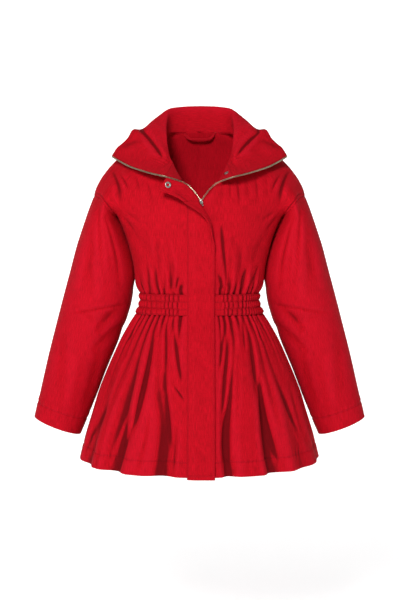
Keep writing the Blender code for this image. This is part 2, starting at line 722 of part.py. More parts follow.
# Sections across the collar: the stand rises to the roll, the fall drops to a valley, and
# from there the opened front spreads as a wing to the collar's free edge.
COLLAR = [
    # share from the zip to centre back, then x, y, height of: roll, fall, valley, wing, edge
    (0.12, 80, -98, -58, 98, -89, -51, 116, -76, -44, 148, -49, -31, 181, -25, -19),
    (0.25, 64, -68, -42, 73, -70, -35, 86, -67, -31, 129, -39, -16, 174, -17, -8),
    (0.35, 66, -51, -25, 75, -54, -17, 90, -60, -22, 125, -30, -6, 163, -10, 2),
    (0.47, 70, -28, -4, 92, -22, 13, 113, -30, 4, 132, -16, 10, 153, -4, 13),
    (0.58, 72, -5, 19, 100, 6, 37, 127, -3, 26, 134, 2, 29, 143, 9, 31),
    (0.68, 74, 30, 49, 99, 36, 52, 121, 30, 36, 126, 31, 33, 131, 32, 32),
    (0.78, 73, 67, 79, 92, 72, 64, 107, 76, 42, 113, 77, 30, 118, 78, 18),
    (0.88, 46, 87, 87.5, 55, 104, 68, 61, 112, 44, 63, 114, 29, 65, 115, 15),
    (1.00, 0, 92, 90, 0, 109, 70, 0, 116, 44, 0, 117, 28, 0, 117, 13),
]
COLLAR_PLACES = (0.0, 0.36, 0.52, 0.68, 0.84, 1.0)  # of neck seam, roll, fall, valley, wing, edge
COLLAR_ON_ZIP = (0.5, 0.58, 0.66, 0.74, 0.87, 1.0)  # where those places lie along the zip
COLLAR_ACROSS = (0, 0.18, 0.36, 0.44, 0.52, 0.60, 0.68, 0.84, 1)
AT_ROLL = (1, 0.7, 0.5, 0.6, 0.9, 1, 1, 1, 1)  # the cloth is pressed thinner round the roll
COLLAR_LIFT = 0.9  # above the neck's seam
FRONT_NECK = 0.25  # share along the collar where its seam leaves the lapel
SHOULDER = 0.62  # share along the collar above the shoulder seam


def neck_places():
    """Shares along the collar, each above a row of the front or the back, with its seam point."""
    low, high, _, to_collar = seam_frame()
    shares, points = [], []
    for part in (0, 0.34, 0.67, 1):
        shares.append(FRONT_NECK * part)
        points.append(low + (high - low) * part + to_collar * HALF_SEAM)
    for up in (1 - ARM_SHARES)[::-1]:
        if up > 0.76:
            shares.append(FRONT_NECK + (SHOULDER - FRONT_NECK) * (up - 0.75) / 0.25)
            points.append(through(FRONT_EDGE, np.array(up)) + [0, 0, COLLAR_LIFT])
    for up in 1 - ARM_SHARES:
        if 0.81 < up < 1:
            shares.append(SHOULDER + (1 - SHOULDER) * (1 - up) / 0.18)
            points.append(through(BACK_EDGE, np.array(up)) + [0, 0, COLLAR_LIFT])
    return np.array(shares), np.array(points)


def collar_surface(shares, seam, across):
    """The face that shows, from the neck's seam over the roll to the free edge."""
    free = zip_edge(np.array(COLLAR_ON_ZIP[1:])) + TAPE_EDGE
    table = np.concatenate([[[0.0, *free.ravel()]], COLLAR])
    knots = through(table, shares).reshape(len(shares), -1, 3)
    knots = np.concatenate([seam[:, None], knots], axis=1)
    rows = [zip_edge(np.interp(across, COLLAR_PLACES, COLLAR_ON_ZIP)) + TAPE_EDGE]
    for knot in knots[1:]:
        steps = np.linalg.norm(np.diff(knot, axis=0), axis=1)
        run = np.concatenate([[0], np.cumsum(steps)])
        rows.append(through(np.column_stack([run, knot]), np.interp(across, COLLAR_PLACES, run)))
    rows = np.array(rows)
    rows[:, 0] = seam
    return rows


def collar(cloth_finish):
    shares, seam = neck_places()
    half = collar_surface(shares, seam, COLLAR_ACROSS)
    half[-1, :, 0] = 0
    out = normals(half, quads(*half.shape[:2]))
    if out[-1, -1, 1] < 0:
        out = -out
    out[:4, 0] = seam_frame()[2]
    flatten(out, (slice(4, None), 0), 2)
    flatten(out, (0, slice(1, None)), 2)
    flatten(out, (-1, slice(None)), 0)
    points = np.concatenate([to_side(half, -1), half[-2::-1]])
    both = np.concatenate([mirrored(out), out[-2::-1]])
    wall("collar", points, quads(*points.shape[:2]), both, DOUBLE * np.array(AT_ROLL), cloth_finish)


# ---------------------------------------------------------------- placket

PLACKET_SEAM_X = -24.6
PLACKET_WIDE = 55.4
PLACKET_GAP = 0.5  # off the front at its seam
PLACKET_BELOW = 3.0  # its end hangs this far below the skirt's hem
PLACKET_BULGE = 2.6  # further off over the zip
FOLD_LENGTH = 7.0  # cloth taken up by the bend of the turned-back edge
PLACKET_HEIGHTS = np.concatenate([
    BAND_BOTTOM + (HEM - BAND_BOTTOM - HEM_DROP[0][1]) * np.array(SKIRT_ROWS)[::-1],
    [-339.5],
    BAND_TOP + 2 * (FRONT_EDGE[0][3] - BAND_TOP) * BODY_ROWS[:4],
    [-240.0],
])
# Where the free edge starts to turn back over the placket.
TURN_BACK = [
    # height, x of the bend, degrees turned
    (-705.0, 20.0, 0.0),
    (-236.0, 20.0, 0.0),
    (-226.0, 22.0, 18.0),
    (-214.0, 22.5, 62.0),
    (-203.0, 22.0, 102.0),
    (-182.0, 20.0, 118.0),
    (-165.0, 16.0, 126.0),
    (-150.0, 9.0, 138.0),
    (-139.0, 2.0, 150.0),
    (-130.0, -4.5, 162.0),
]
# Above the slider the turned-back part follows the zip's edge up to its end.
TURNED = [
    # share of the zip's edge beside the bend, then x, y, height of the free edge
    (0.04, -27.5, -134.0, -130.5),
    (0.10, -39.5, -136.0, -122.0),
    (0.20, -51.0, -136.5, -116.0),
    (0.30, -62.5, -136.0, -111.0),
    (0.40, -74.5, -135.5, -106.5),
    (0.49, -81.0, -134.0, -103.0),
]
BESIDE_ZIP = 2.5  # from the zip's middle to the placket's bend
AHEAD_OF_ZIP = 1.2


def front_y(x, height):
    """How far forward the fronts lie beside the zip at a height."""
    half, front, _, square = np.moveaxis(through(RINGS, height), -1, 0)
    up = 0.5 * (height - BAND_TOP) / (FRONT_EDGE[0][3] - BAND_TOP)
    square = np.where(up > 0, through(SECTIONS, up.clip(0, 0.5))[..., 0], square)
    away = np.abs(x - CENTRE_X) / (half - CENTRE_X)
    top = FRONT_EDGE[0]
    front = front - (top[2] + through(RINGS, np.array(top[3]))[1]) * 2 * up.clip(0, 0.5)
    return -front * (1 - away**square) ** (1 / square)


def placket_row(height):
    """Across the placket: flat to the bend, round it, and straight on."""
    bend_x, degrees = through(TURN_BACK, np.array(float(height)))
    flat = bend_x - PLACKET_SEAM_X
    turned = np.radians(max(degrees, 0.01))
    cloth = np.array([0, 0.5 * flat, flat, flat + FOLD_LENGTH / 2, flat + FOLD_LENGTH, 0, PLACKET_WIDE])
    cloth[5] = (cloth[4] + cloth[6]) / 2
    in_bend = np.clip((cloth - flat) / FOLD_LENGTH, 0, 1)
    past = np.clip(cloth - flat - FOLD_LENGTH, 0, None)
    radius = FOLD_LENGTH / turned
    x = np.minimum(cloth, flat) + radius * np.sin(turned * in_bend) + past * np.cos(turned)
    rise = radius * (1 - np.cos(turned * in_bend)) + past * np.sin(turned)
    x = x + PLACKET_SEAM_X
    gap = PLACKET_GAP + PLACKET_BULGE * ease((cloth - 2) / 14)
    y = front_y(np.clip(x, -26, 32), np.array(float(height))) - gap - DOUBLE - rise
    return stack(x, y, float(height))


def turned_back():
    """The part of the placket that follows the opened zip, and the way to the viewer.

    Turned over, it shows the placket's inside: its wall lies in front of these points.
    """
    shares = np.linspace(TURNED[0][0], TURNED[-1][0], 9)
    edge = through(TURNED, shares)
    beside = to_side(zip_edge(shares), -1)
    ahead = to_side(zip_edge(shares + 0.01), -1) - beside
    away = np.cross(ahead, [0, 1.0, 0])
    away /= np.linalg.norm(away, axis=1, keepdims=True)
    away *= -np.sign(away[:, 2:])
    bend = beside + away * BESIDE_ZIP - [0, AHEAD_OF_ZIP, 0]
    along = np.array([0, 0.15, 0.55, 1.0])[:, None]
    points = bend[:, None] + (edge - bend)[:, None] * along
    out = normals(points, quads(*points.shape[:2]))
    return points, out if out[..., 1].sum() < 0 else -out


def placket(cloth_finish):
    heights = (PLACKET_HEIGHTS[0] - PLACKET_BELOW, *PLACKET_HEIGHTS[1:], *(r[0] for r in TURN_BACK[2:]))
    rows = [placket_row(h) for h in heights]
    flap, _ = turned_back()
    unused = np.repeat(flap[:, :1], 3, axis=1)
    points = np.concatenate([rows, np.concatenate([unused, flap], axis=1)])
    kept = np.ones((len(points) - 1, points.shape[1] - 1), bool)
    kept[len(rows) - 1 :, :3] = False
    faces = quads(*points.shape[:2], kept=kept)
    out = normals(points, faces)
    if out[0, 0, 1] > 0:
        out = -out
    wall("placket", points, faces, out, DOUBLE, cloth_finish)


# ---------------------------------------------------------------- zip, snaps and loop


def box_along(name, path, sideways, half_wide, half_thick, finish):
    """A square bar along a path. Sideways gives the way across it at each point."""
    ahead = np.gradient(path, axis=0)
    ahead /= np.linalg.norm(ahead, axis=1, keepdims=True)
    sideways = sideways - ahead * (sideways * ahead).sum(1, keepdims=True)
    sideways /= np.linalg.norm(sideways, axis=1, keepdims=True)
    up = np.cross(ahead, sideways)
    corners = [(1, 1), (1, -1), (-1, -1), (-1, 1)]
    half_wide, half_thick = np.broadcast_arrays(half_wide, half_thick, path[:, 0])[:2]
    wide, thick = half_wide[:, None], half_thick[:, None]
    rows = [path + sideways * wide * a + up * thick * b for a, b in corners]
    points = np.stack(rows, axis=1)
    count = len(path)
    faces = [tuple(f) for f in quads(count, 4, closed=True)]
    faces += [(3, 2, 1, 0), tuple(range(4 * count - 4, 4 * count))]
    middle = points.mean(axis=1, keepdims=True)
    outward = (normals(points, quads(count, 4, closed=True)) * (points - middle)).sum()
    if outward < 0:
        faces = [f[::-1] for f in faces]
    return add(name, points.reshape(-1, 3), faces, finish)


def turned(name, profile, centre, axis, finish, sides=14):
    """A small round fitting: a closed profile of radius and height, spun about its axis."""
    axis = np.asarray(axis, float) / np.linalg.norm(axis)
    first = np.cross(axis, [0, 0, 1.0])
    first /= np.linalg.norm(first)
    second = np.cross(axis, first)
    turn = np.linspace(0, 2 * np.pi, sides, endpoint=False)[:, None, None]
    radius, height = np.asarray(profile, float).T
    ray = np.cos(turn) * first + np.sin(turn) * second
    points = np.asarray(centre) + ray * radius[None, :, None] + axis * height[None, :, None]
    columns = len(profile)
    i, j = np.meshgrid(np.arange(sides), np.arange(columns), indexing="ij")
    i, j = i.ravel(), j.ravel()
    nxt, side = (i + 1) % sides, (j + 1) % columns
    faces = np.stack([i * columns + j, nxt * columns + j, nxt * columns + side, i * columns + side], 1)
    middle = np.asarray(centre) + ray * radius.mean() + axis * height.mean()
    if (normals(points, faces) * (points - middle)).sum() < 0:
        faces = faces[:, ::-1]
    return add(name, points.reshape(-1, 3), [tuple(f) for f in faces], finish)


SLIDER_AT = (3.0, -121.8, -126.5)
SLIDER = [
    # height from its middle, half width, half thickness
    (-5.0, 1.6, 1.0),
    (-4.0, 2.3, 1.8),
    (1.0, 2.7, 2.1),
    (4.0, 2.7, 2.1),
    (5.0, 1.8, 1.2),
]
PULL_PIVOT = (6.2, -125.2, -126.5)
PULL = [
    # height from the pivot, half width, half thickness
    (0.7, 1.2, 0.5),
    (-2.5, 1.0, 0.6),
    (-6.0, 1.5, 0.6),
    (-7.8, 1.5, 0.6),
    (-8.6, 0.9, 0.5),
]
SNAP_RING = [
    # radius, height: a ring with a hole
    (3.0, 0.0),
    (6.5, 0.0),
    (6.5, 0.8),
    (5.4, 1.5),
    (3.9, 1.5),
    (3.0, 0.9),
]
RIVET = [
    (1.2, 0.0),
    (5.0, 0.0),
    (5.0, 0.7),
    (3.8, 1.5),
    (2.4, 1.1),
    (1.2, 0.8),
]
SNAP_XZ = (-64.5, -93.4)
RIVET_XZ = (55.5, -67.5)
SEATED = 0.3  # a fitting stands this far off the cloth
SNAP_SEATED = 0.9  # more where the cloth curves under it
LOOP = [
    # x, y, height
    (-32.0, 73.0, 28.4),
    (-29.0, 71.4, 22.0),
    (-22.0, 70.2, 16.4),
    (-11.0, 70.0, 15.0),
    (0.0, 70.0, 14.8),
    (11.0, 70.0, 15.0),
    (22.0, 70.2, 16.4),
    (29.0, 71.4, 22.0),
    (32.0, 73.0, 28.4),
]
LOOP_WIDE = 5.0


def nearest(points, out, x, z):
    """The grid's finest point that shows at x and z, and the way out of the cloth there."""
    fine = np.linspace(0, 1, 41)
    rows, columns = points.shape[:2]
    i, a = np.divmod(fine * (rows - 1), 1)
    j, b = np.divmod(fine * (columns - 1), 1)
    i, j = i.clip(0, rows - 2).astype(int), j.clip(0, columns - 2).astype(int)
    a, b = (fine * (rows - 1) - i)[:, None, None], (fine * (columns - 1) - j)[None, :, None]
    both = np.concatenate([points, out], axis=-1)
    i, j = i[:, None], j[None]
    low = both[i, j] * (1 - b) + both[i, j + 1] * b
    high = both[i + 1, j] * (1 - b) + both[i + 1, j + 1] * b
    at = (low * (1 - a) + high * a).reshape(-1, 6)
    best = at[np.argmin((at[:, 0] - x) ** 2 + (at[:, 2] - z) ** 2)]
    return best[:3], best[3:] / np.linalg.norm(best[3:])


def tapered(name, table, centre, finish):
    """A small upright bar whose width and thickness follow a table."""
    height, wide, thick = np.array(table, float).T
    path = np.asarray(centre) + stack(0, 0, height)
    sideways = np.tile([1.0, 0, 0], (len(path), 1))
    box_along(name, path, sideways, wide, thick, finish)


def fittings(metal, cloth_finish):
    flap, flap_out = turned_back()
    at, out = nearest(flap, flap_out, *SNAP_XZ)
    turned("snap_socket", SNAP_RING, at + out * (DOUBLE + SNAP_SEATED), out, metal)
    lapel, lapel_out = lapel_surface()
    at, out = nearest(lapel, lapel_out, *RIVET_XZ)
    turned("snap_rivet", RIVET, at + out * SEATED, out, metal)
    tapered("zip_slider", SLIDER, SLIDER_AT, metal)
    tapered("zip_pull", PULL, PULL_PIVOT, metal)
    path = np.array(LOOP)
    ahead = np.gradient(path, axis=0)
    across = np.cross(ahead, [0, 1.0, 0])
    box_along("hanger_loop", path, across, LOOP_WIDE / 2, CLOTH / 2, cloth_finish)


def zips(metal):
    shares = np.linspace(0, 1, 15)
    path = zip_edge(shares)
    lean = np.where(shares[:, None] < 0.3, [-0.8, 0, 0.6], [0.0, 0.1, 1.0])
    for name, side in (("zip_left", -1), ("zip_right", 1)):
        begin = path.copy()
        begin[0] += [2.4, 0, 3.5]
        ways = lean if side > 0 else mirrored(lean)
        box_along(name, to_side(begin, side), ways, ZIP_WIDE / 2, ZIP_THICK / 2, metal)
    heights = np.array([-684.0, -600, -520, -450, -400, -361, -340, -318, -300, -270, -220, -170, -134])
    centre = np.full(len(heights), CENTRE_X)
    closed = stack(centre, front_y(centre, heights) - 0.9, heights)
    box_along("zip_closed", closed, np.tile([1.0, 0, 0], (len(heights), 1)), 2.5, 1.4, metal)


# ---------------------------------------------------------------- build

for leftover in list(bpy.data.objects):
    bpy.data.objects.remove(leftover)

cloth_red = material("red_twill", RED, 0.85, 0.0)
brass = material("zip_brass", ZIP_BRASS, 0.35, 1.0)
steel = material("steel", STEEL, 0.3, 1.0)

skirts(cloth_red)
bands(cloth_red)
bodice(cloth_red)
sleeves(cloth_red)
lapels(cloth_red)
collar(cloth_red)
placket(cloth_red)
zips(brass)
fittings(steel, cloth_red)
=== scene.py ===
# %% [markdown]
# # A red twill jacket with a gathered skirt
#
# The jacket is filled out as on a wearer, with nobody in it. Each cloth piece is a
# surface of two parameters on a numpy grid. It starts from the frame's own sections, and
# folds, shirring and seams then press it in or lift it by a millimetre or a few.
#
# The front faces -Y and +Z is up. "Left" is the viewer's left. Tables are in millimetres.

import bpy
import numpy as np
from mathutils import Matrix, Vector


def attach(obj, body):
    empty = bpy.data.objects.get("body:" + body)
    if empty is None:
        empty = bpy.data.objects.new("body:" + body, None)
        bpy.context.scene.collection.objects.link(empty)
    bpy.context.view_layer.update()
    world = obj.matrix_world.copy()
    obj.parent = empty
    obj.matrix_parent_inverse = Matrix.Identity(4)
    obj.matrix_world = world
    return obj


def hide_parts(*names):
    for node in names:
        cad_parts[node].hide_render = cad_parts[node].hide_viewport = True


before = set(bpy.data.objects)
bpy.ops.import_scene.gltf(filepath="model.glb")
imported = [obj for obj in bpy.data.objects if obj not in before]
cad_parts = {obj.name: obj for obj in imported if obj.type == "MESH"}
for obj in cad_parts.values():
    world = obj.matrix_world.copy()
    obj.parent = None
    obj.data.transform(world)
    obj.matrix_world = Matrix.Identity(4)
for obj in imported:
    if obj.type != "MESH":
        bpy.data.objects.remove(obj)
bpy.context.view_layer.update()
MM = 0.001

# %% [markdown]
# ## Shapes
#
# `through` draws a smooth curve through a table's rows. A ring of the body is a
# superellipse, $|x/a|^n + |y/b|^n = 1$, whose half width $a$, depth $b$ and squareness
# $n$ follow the height. Turn is 0 at centre front, 1 at the side and 2 at centre back.

# %% Measures of the frame
# Cloth
CLOTH = 1.6  # wall of a panel
DOUBLE = 2.6  # wall of a turned edge: collar, lapels and placket
HALF_SEAM = 0.15  # each piece stops this far short of its seam
# Heights of the seams round the body, and the line where the fronts meet
BAND_TOP = -318.0
BAND_BOTTOM = -361.0
HEM = -668.0
CENTRE_X = 3.0
ZIP_GAP = 3.0  # from the centre line to each front's edge
# Rings round the body: half width at the side, depth to the front and to the back,
# and how square the ring is (2 is an ellipse).
RINGS = [
    # height, half width, front, back, squareness
    (-705.0, 266.0, 181.0, 172.0, 2.40),
    (-668.0, 256.5, 175.0, 166.0, 2.40),
    (-626.0, 246.5, 168.0, 160.0, 2.35),
    (-568.0, 229.0, 158.0, 150.0, 2.30),
    (-527.0, 216.5, 151.0, 143.0, 2.30),
    (-486.0, 200.5, 142.0, 135.0, 2.25),
    (-451.0, 185.5, 133.0, 127.0, 2.25),
    (-419.0, 171.0, 123.0, 118.0, 2.20),
    (-395.0, 158.0, 114.0, 108.0, 2.20),
    (-378.0, 148.0, 107.0, 101.0, 2.20),
    (-361.0, 136.7, 100.0, 94.0, 2.20),
    (-345.0, 128.5, 96.0, 91.0, 2.20),
    (-330.0, 126.0, 95.0, 90.0, 2.20),
    (-318.0, 128.5, 97.0, 92.0, 2.20),
    (-306.0, 135.0, 103.0, 98.0, 2.20),
    (-294.0, 138.0, 107.5, 101.0, 2.20),
    (-270.0, 140.0, 111.5, 104.0, 2.20),
    (-235.0, 147.0, 116.0, 108.0, 2.20),
    (-177.0, 165.3, 120.5, 114.0, 2.20),
    (-155.0, 174.6, 121.0, 115.0, 2.20),
    (-120.0, 178.0, 120.0, 115.0, 2.20),
]

# %% Curves and rings
def through(rows, x):
    """A smooth curve through a table's rows: the first column is where, the rest what.

    Between two rows it is the cubic that leaves and meets them at the slopes of the table.
    """
    rows = np.asarray(rows, float)
    at, values = rows[:, 0], rows[:, 1:]
    slopes = np.gradient(values, at, axis=0)
    x = np.clip(x, at[0], at[-1])
    i = np.clip(np.searchsorted(at, x) - 1, 0, len(at) - 2)
    step = (at[i + 1] - at[i])[..., None]
    s = (x - at[i])[..., None] / step
    rise = s * s * (3 - 2 * s)
    leave = s * (1 - s) ** 2
    meet = s * s * (s - 1)
    return (
        values[i] * (1 - rise)
        + values[i + 1] * rise
        + step * (leave * slopes[i] + meet * slopes[i + 1])
    )


def ease(x):
    """Nought before 0, one after 1, and smooth between."""
    x = np.clip(x, 0, 1)
    return x * x * (3 - 2 * x)


def quarter(start, end, corner, turn, squareness):
    """A quarter round from start (turn 0) to end (turn 1) about a corner point."""
    angle = np.radians(90) * turn
    power = 2 / squareness
    near = np.cos(angle).clip(0) ** power
    far = np.sin(angle).clip(0) ** power
    return corner + (start - corner) * near[..., None] + (end - corner) * far[..., None]


def stack(*columns):
    return np.stack(np.broadcast_arrays(*columns), axis=-1)


def ring(turn, height):
    """Points round the body. Turn is 0 at centre front, 1 at the side, 2 at centre back."""
    half, front, back, square = np.moveaxis(through(RINGS, height), -1, 0)
    depth = np.where(turn <= 1, -front, back)
    centre = stack(CENTRE_X * np.abs(turn - 1), 0, height)
    face = stack(centre[..., 0], depth, height)
    side = stack(half, 0, height)
    return quarter(face, side, centre, 1 - np.abs(1 - turn), square)


def ring_out(turn, height):
    """The level direction that points straight out of the ring."""
    ahead = ring(np.clip(turn + 0.01, 0, 2), height)
    behind = ring(np.clip(turn - 0.01, 0, 2), height)
    along = ahead - behind
    out = stack(along[..., 1], -along[..., 0], 0 * height)
    return out / np.linalg.norm(out, axis=-1, keepdims=True)


def troughs(place, centre, depth, before, after):
    """How far a row of troughs presses the cloth in, each wider on one side than the other."""
    away = place - centre
    width = np.where(away < 0, before, after)
    return depth * 0.5 * (1 + np.cos(np.pi * np.clip(away / width, -1, 1)))

# %% Grids
def quads(rows, columns, closed=False, kept=None):
    """The faces of a grid. A closed grid joins its last column to its first."""
    last = columns if closed else columns - 1
    i, j = np.meshgrid(np.arange(rows - 1), np.arange(last), indexing="ij")
    if kept is not None:
        i, j = i[kept], j[kept]
    i, j = i.ravel(), j.ravel()
    k = (j + 1) % columns
    return np.stack([i * columns + j, i * columns + k, (i + 1) * columns + k, (i + 1) * columns + j], 1)


def normals(points, faces):
    """At each point, the mean direction of the faces that meet there."""
    flat = points.reshape(-1, 3)
    a, b, c, d = (flat[faces[:, i]] for i in range(4))
    facing = np.cross(c - a, d - b)
    total = np.zeros_like(flat)
    for i in range(4):
        np.add.at(total, faces[:, i], facing)
    return (total / np.linalg.norm(total, axis=1, keepdims=True).clip(1e-9)).reshape(points.shape)


def flatten(out, rows, axis):
    """Keeps the wall's edge in the plane of its seam: no part of its thickness along axis."""
    out[rows + (axis,)] = 0
    out[rows] /= np.linalg.norm(out[rows], axis=-1, keepdims=True)


def mirrored(points):
    return points * np.array([-1.0, 1.0, 1.0])

# %% [markdown]
# ## The frame's skirt and band
#
# Column k + 1 of the cloth follows row k of the table from band to hem. A trough of
# half a cosine presses the cloth in along it.

# %% Skirt form
# Gathers of the skirt's fronts. Turn is 0 at centre front and 1 at the side seam.
# A short one dies out within its reach; a long one widens into a flute of the hem.
SKIRT_LEFT = [
    # turn at band, turn at hem, depth at band, depth at hem, reach, before, after
    (0.19, 0.05, 2.4, 0.0, 0.10, 0.6, 0.6),
    (0.27, 0.09, 2.6, 2.0, 0.25, 0.6, 0.6),
    (0.34, 0.15, 2.8, 15.0, 1.00, 1.2, 0.7),
    (0.41, 0.30, 2.4, 0.0, 0.14, 0.6, 0.6),
    (0.47, 0.44, 3.0, 19.0, 1.00, 0.7, 1.3),
    (0.54, 0.55, 2.2, 0.0, 0.18, 0.6, 0.6),
    (0.62, 0.63, 2.4, 0.0, 0.12, 0.6, 0.6),
    (0.70, 0.73, 3.0, 11.0, 1.00, 1.1, 1.0),
    (0.85, 0.88, 2.2, 0.0, 0.20, 0.6, 0.6),
]
SKIRT_RIGHT = [
    (0.20, 0.05, 2.4, 0.0, 0.10, 0.6, 0.6),
    (0.28, 0.10, 2.8, 14.0, 1.00, 0.6, 0.9),
    (0.36, 0.18, 2.4, 0.0, 0.12, 0.6, 0.6),
    (0.43, 0.26, 2.6, 0.0, 0.20, 0.6, 0.6),
    (0.50, 0.35, 3.0, 19.0, 1.00, 0.7, 1.3),
    (0.58, 0.48, 2.4, 0.0, 0.14, 0.6, 0.6),
    (0.67, 0.60, 2.8, 7.0, 1.00, 1.0, 1.0),
    (0.77, 0.74, 2.4, 0.0, 0.12, 0.6, 0.6),
    (0.87, 0.88, 2.2, 4.0, 0.60, 0.8, 0.8),
]
SKIRT_BACK = [
    (1.10, 1.10, 2.4, 0.0, 0.16, 0.6, 0.6),
    (1.22, 1.20, 2.6, 9.0, 1.00, 1.0, 1.1),
    (1.33, 1.33, 2.4, 0.0, 0.12, 0.6, 0.6),
    (1.44, 1.45, 3.0, 15.0, 1.00, 1.2, 0.8),
    (1.54, 1.57, 2.4, 0.0, 0.20, 0.6, 0.6),
    (1.64, 1.68, 2.6, 0.0, 0.12, 0.6, 0.6),
    (1.74, 1.79, 2.8, 13.0, 1.00, 0.9, 1.2),
    (1.84, 1.88, 2.4, 0.0, 0.14, 0.6, 0.6),
    (1.94, 1.95, 2.4, 0.0, 0.20, 0.5, 0.5),
]
HEM_DROP = [
    # turn, how much lower the hem hangs than at the side
    (0.0, 16.0),
    (0.4, 12.0),
    (0.8, 4.0),
    (1.0, 0.0),
    (1.2, 4.0),
    (1.6, 10.0),
    (2.0, 12.0),
]


def gather_turns(table, first, last, cloth, down):
    """Where each column runs. Column k + 1 follows the table's row k from band to hem."""
    rows = np.asarray(table)
    at = np.arange(len(rows) + 2)
    top = np.concatenate([[first], rows[:, 0], [last]])
    low = np.concatenate([[first], rows[:, 1], [last]])
    turn = through(np.stack([at, top, low], 1), cloth)
    spread = ease(down * 1.15) ** 0.8
    return turn[..., 0] * (1 - spread) + turn[..., 1] * spread


def gather_depths(table, cloth, down):
    """How far the gathers press the cloth in, at a column and a share of the way down."""
    total = np.zeros(np.broadcast(cloth, down).shape)
    for k, (_, _, at_band, at_hem, reach, before, after) in enumerate(table):
        short = at_band * (1 - ease(down / reach if reach < 1 else down / 0.35))
        depth = short + at_hem * ease(down / 0.9)
        widen = ease(down / 0.5)
        left = 0.5 + (before - 0.5) * widen
        right = 0.5 + (after - 0.5) * widen
        total = total + troughs(cloth, k + 1, depth, left, right)
    return total


def skirt(table, first, last, cloth, down):
    """The skirt: rings that widen from band to hem, pressed in where the gathers run."""
    turn = gather_turns(table, first, last, cloth, down)
    drop = through(HEM_DROP, turn)[..., 0]
    height = BAND_BOTTOM + (HEM - BAND_BOTTOM - drop) * down
    out = ring_out(turn, height)
    return ring(turn, height) - out * gather_depths(table, cloth, down)[..., None], out

# %% Band form
BAND_ROWS = 3  # tunnels for the elastic
PUFF = 2.4  # how far a tunnel stands out
RIPPLE = 1.5  # how deep the shirring is
PLAIN_TURN = 0.17  # the front is plain from the zip to here


def band(turn, down, ripple):
    """Three puffed tunnels, shirred by the elastic."""
    height = BAND_TOP + (BAND_BOTTOM - BAND_TOP) * down
    puff = PUFF * np.abs(np.sin(np.pi * BAND_ROWS * down)) ** 0.7
    gathered = ease((turn - PLAIN_TURN) / 0.08)
    out = ring_out(turn, height)
    depth = gathered * (puff - RIPPLE * ripple)
    return ring(turn, height) + out * depth[..., None], out

# %% [markdown]
# ## The frame's bodice and sleeves
#
# Each row of a front or back is a quarter round from its inner edge, at the zip or neck,
# to its outer edge, the side seam and then the armhole. The sleeve starts on the same
# armhole curve and becomes a row of ovals.

# %% Armhole form
# The armhole's seam, from the shoulder tip over the front to the underarm, and back.
ARMHOLE = [
    # share round, outwards, y, height
    (-0.07, 221.0, 27.0, -112.5),
    (0.00, 225.8, 0.0, -111.4),
    (0.07, 221.5, -26.0, -113.0),
    (0.15, 210.0, -52.0, -118.0),
    (0.25, 199.5, -75.0, -131.0),
    (0.35, 186.0, -62.0, -146.0),
    (0.43, 178.0, -33.0, -152.5),
    (0.50, 174.6, 0.0, -155.2),
    (0.57, 179.0, 36.0, -152.5),
    (0.65, 189.0, 66.0, -145.0),
    (0.75, 203.0, 80.0, -131.0),
    (0.85, 213.0, 56.0, -117.5),
    (0.93, 221.0, 27.0, -112.5),
    (1.00, 225.8, 0.0, -111.4),
    (1.07, 221.5, -26.0, -113.0),
]


def armhole(share):
    return through(ARMHOLE, share)


def armhole_frame(share):
    """The way the walls thicken along this seam, and the way from body to sleeve."""
    turn = 2 * np.pi * share
    out = stack(0.5 + 0.5 * np.cos(turn), -np.sin(turn), 0.62 * np.cos(turn) - 0.38)
    along = armhole(share + 0.005) - armhole(share - 0.005)
    along /= np.linalg.norm(along, axis=-1, keepdims=True)
    out -= along * (out * along).sum(-1, keepdims=True)
    out /= np.linalg.norm(out, axis=-1, keepdims=True)
    across = np.cross(out, along)
    return out, across


def body_to_sleeve(share):
    """The direction across the armhole's seam, from the body to the sleeve."""
    across = armhole_frame(share)[1]
    down_arm = np.array([0.62, 0, -0.78])
    return across * np.sign((across * down_arm).sum(-1, keepdims=True))

# %% Bodice form
# The front's inner edge: up the zip, along the opened lapel's roll, round the neck.
FRONT_EDGE = [
    # share of the way up, x, y, height
    (0.50, 3.0, -121.0, -127.0),
    (0.55, 13.0, -117.5, -114.5),
    (0.61, 31.0, -108.5, -93.0),
    (0.68, 49.0, -86.0, -65.0),
    (0.75, 58.0, -66.0, -45.0),
    (0.82, 65.5, -50.0, -31.0),
    (0.88, 71.0, -35.0, -18.5),
    (0.93, 75.5, -20.0, -4.5),
    (0.97, 78.0, -8.0, 6.0),
    (1.00, 79.0, 0.0, 12.0),
]
# The back's inner edge: up centre back, then round the neck to the shoulder.
BACK_EDGE = [
    (0.50, 0.0, 115.0, -150.0),
    (0.61, 0.0, 114.0, -95.0),
    (0.72, 0.0, 103.0, -30.0),
    (0.82, 0.0, 78.0, 30.0),
    (0.88, 34.0, 75.0, 29.5),
    (0.93, 61.0, 60.0, 28.5),
    (0.97, 76.0, 31.0, 22.5),
    (1.00, 79.0, 0.0, 12.0),
]
SECTIONS = [
    # share of the way up, squareness of the front's section and of the back's,
    # and how far the section's corner has moved out from mid depth
    (0.00, 2.20, 2.20, 0.00),
    (0.30, 2.30, 2.30, 0.00),
    (0.50, 2.50, 2.45, 0.00),
    (0.61, 2.10, 2.05, 0.50),
    (0.68, 1.95, 1.85, 0.85),
    (0.75, 1.85, 1.70, 0.95),
    (0.82, 1.75, 1.58, 1.00),
    (0.92, 1.65, 1.50, 1.00),
    (1.00, 1.60, 1.60, 1.00),
]
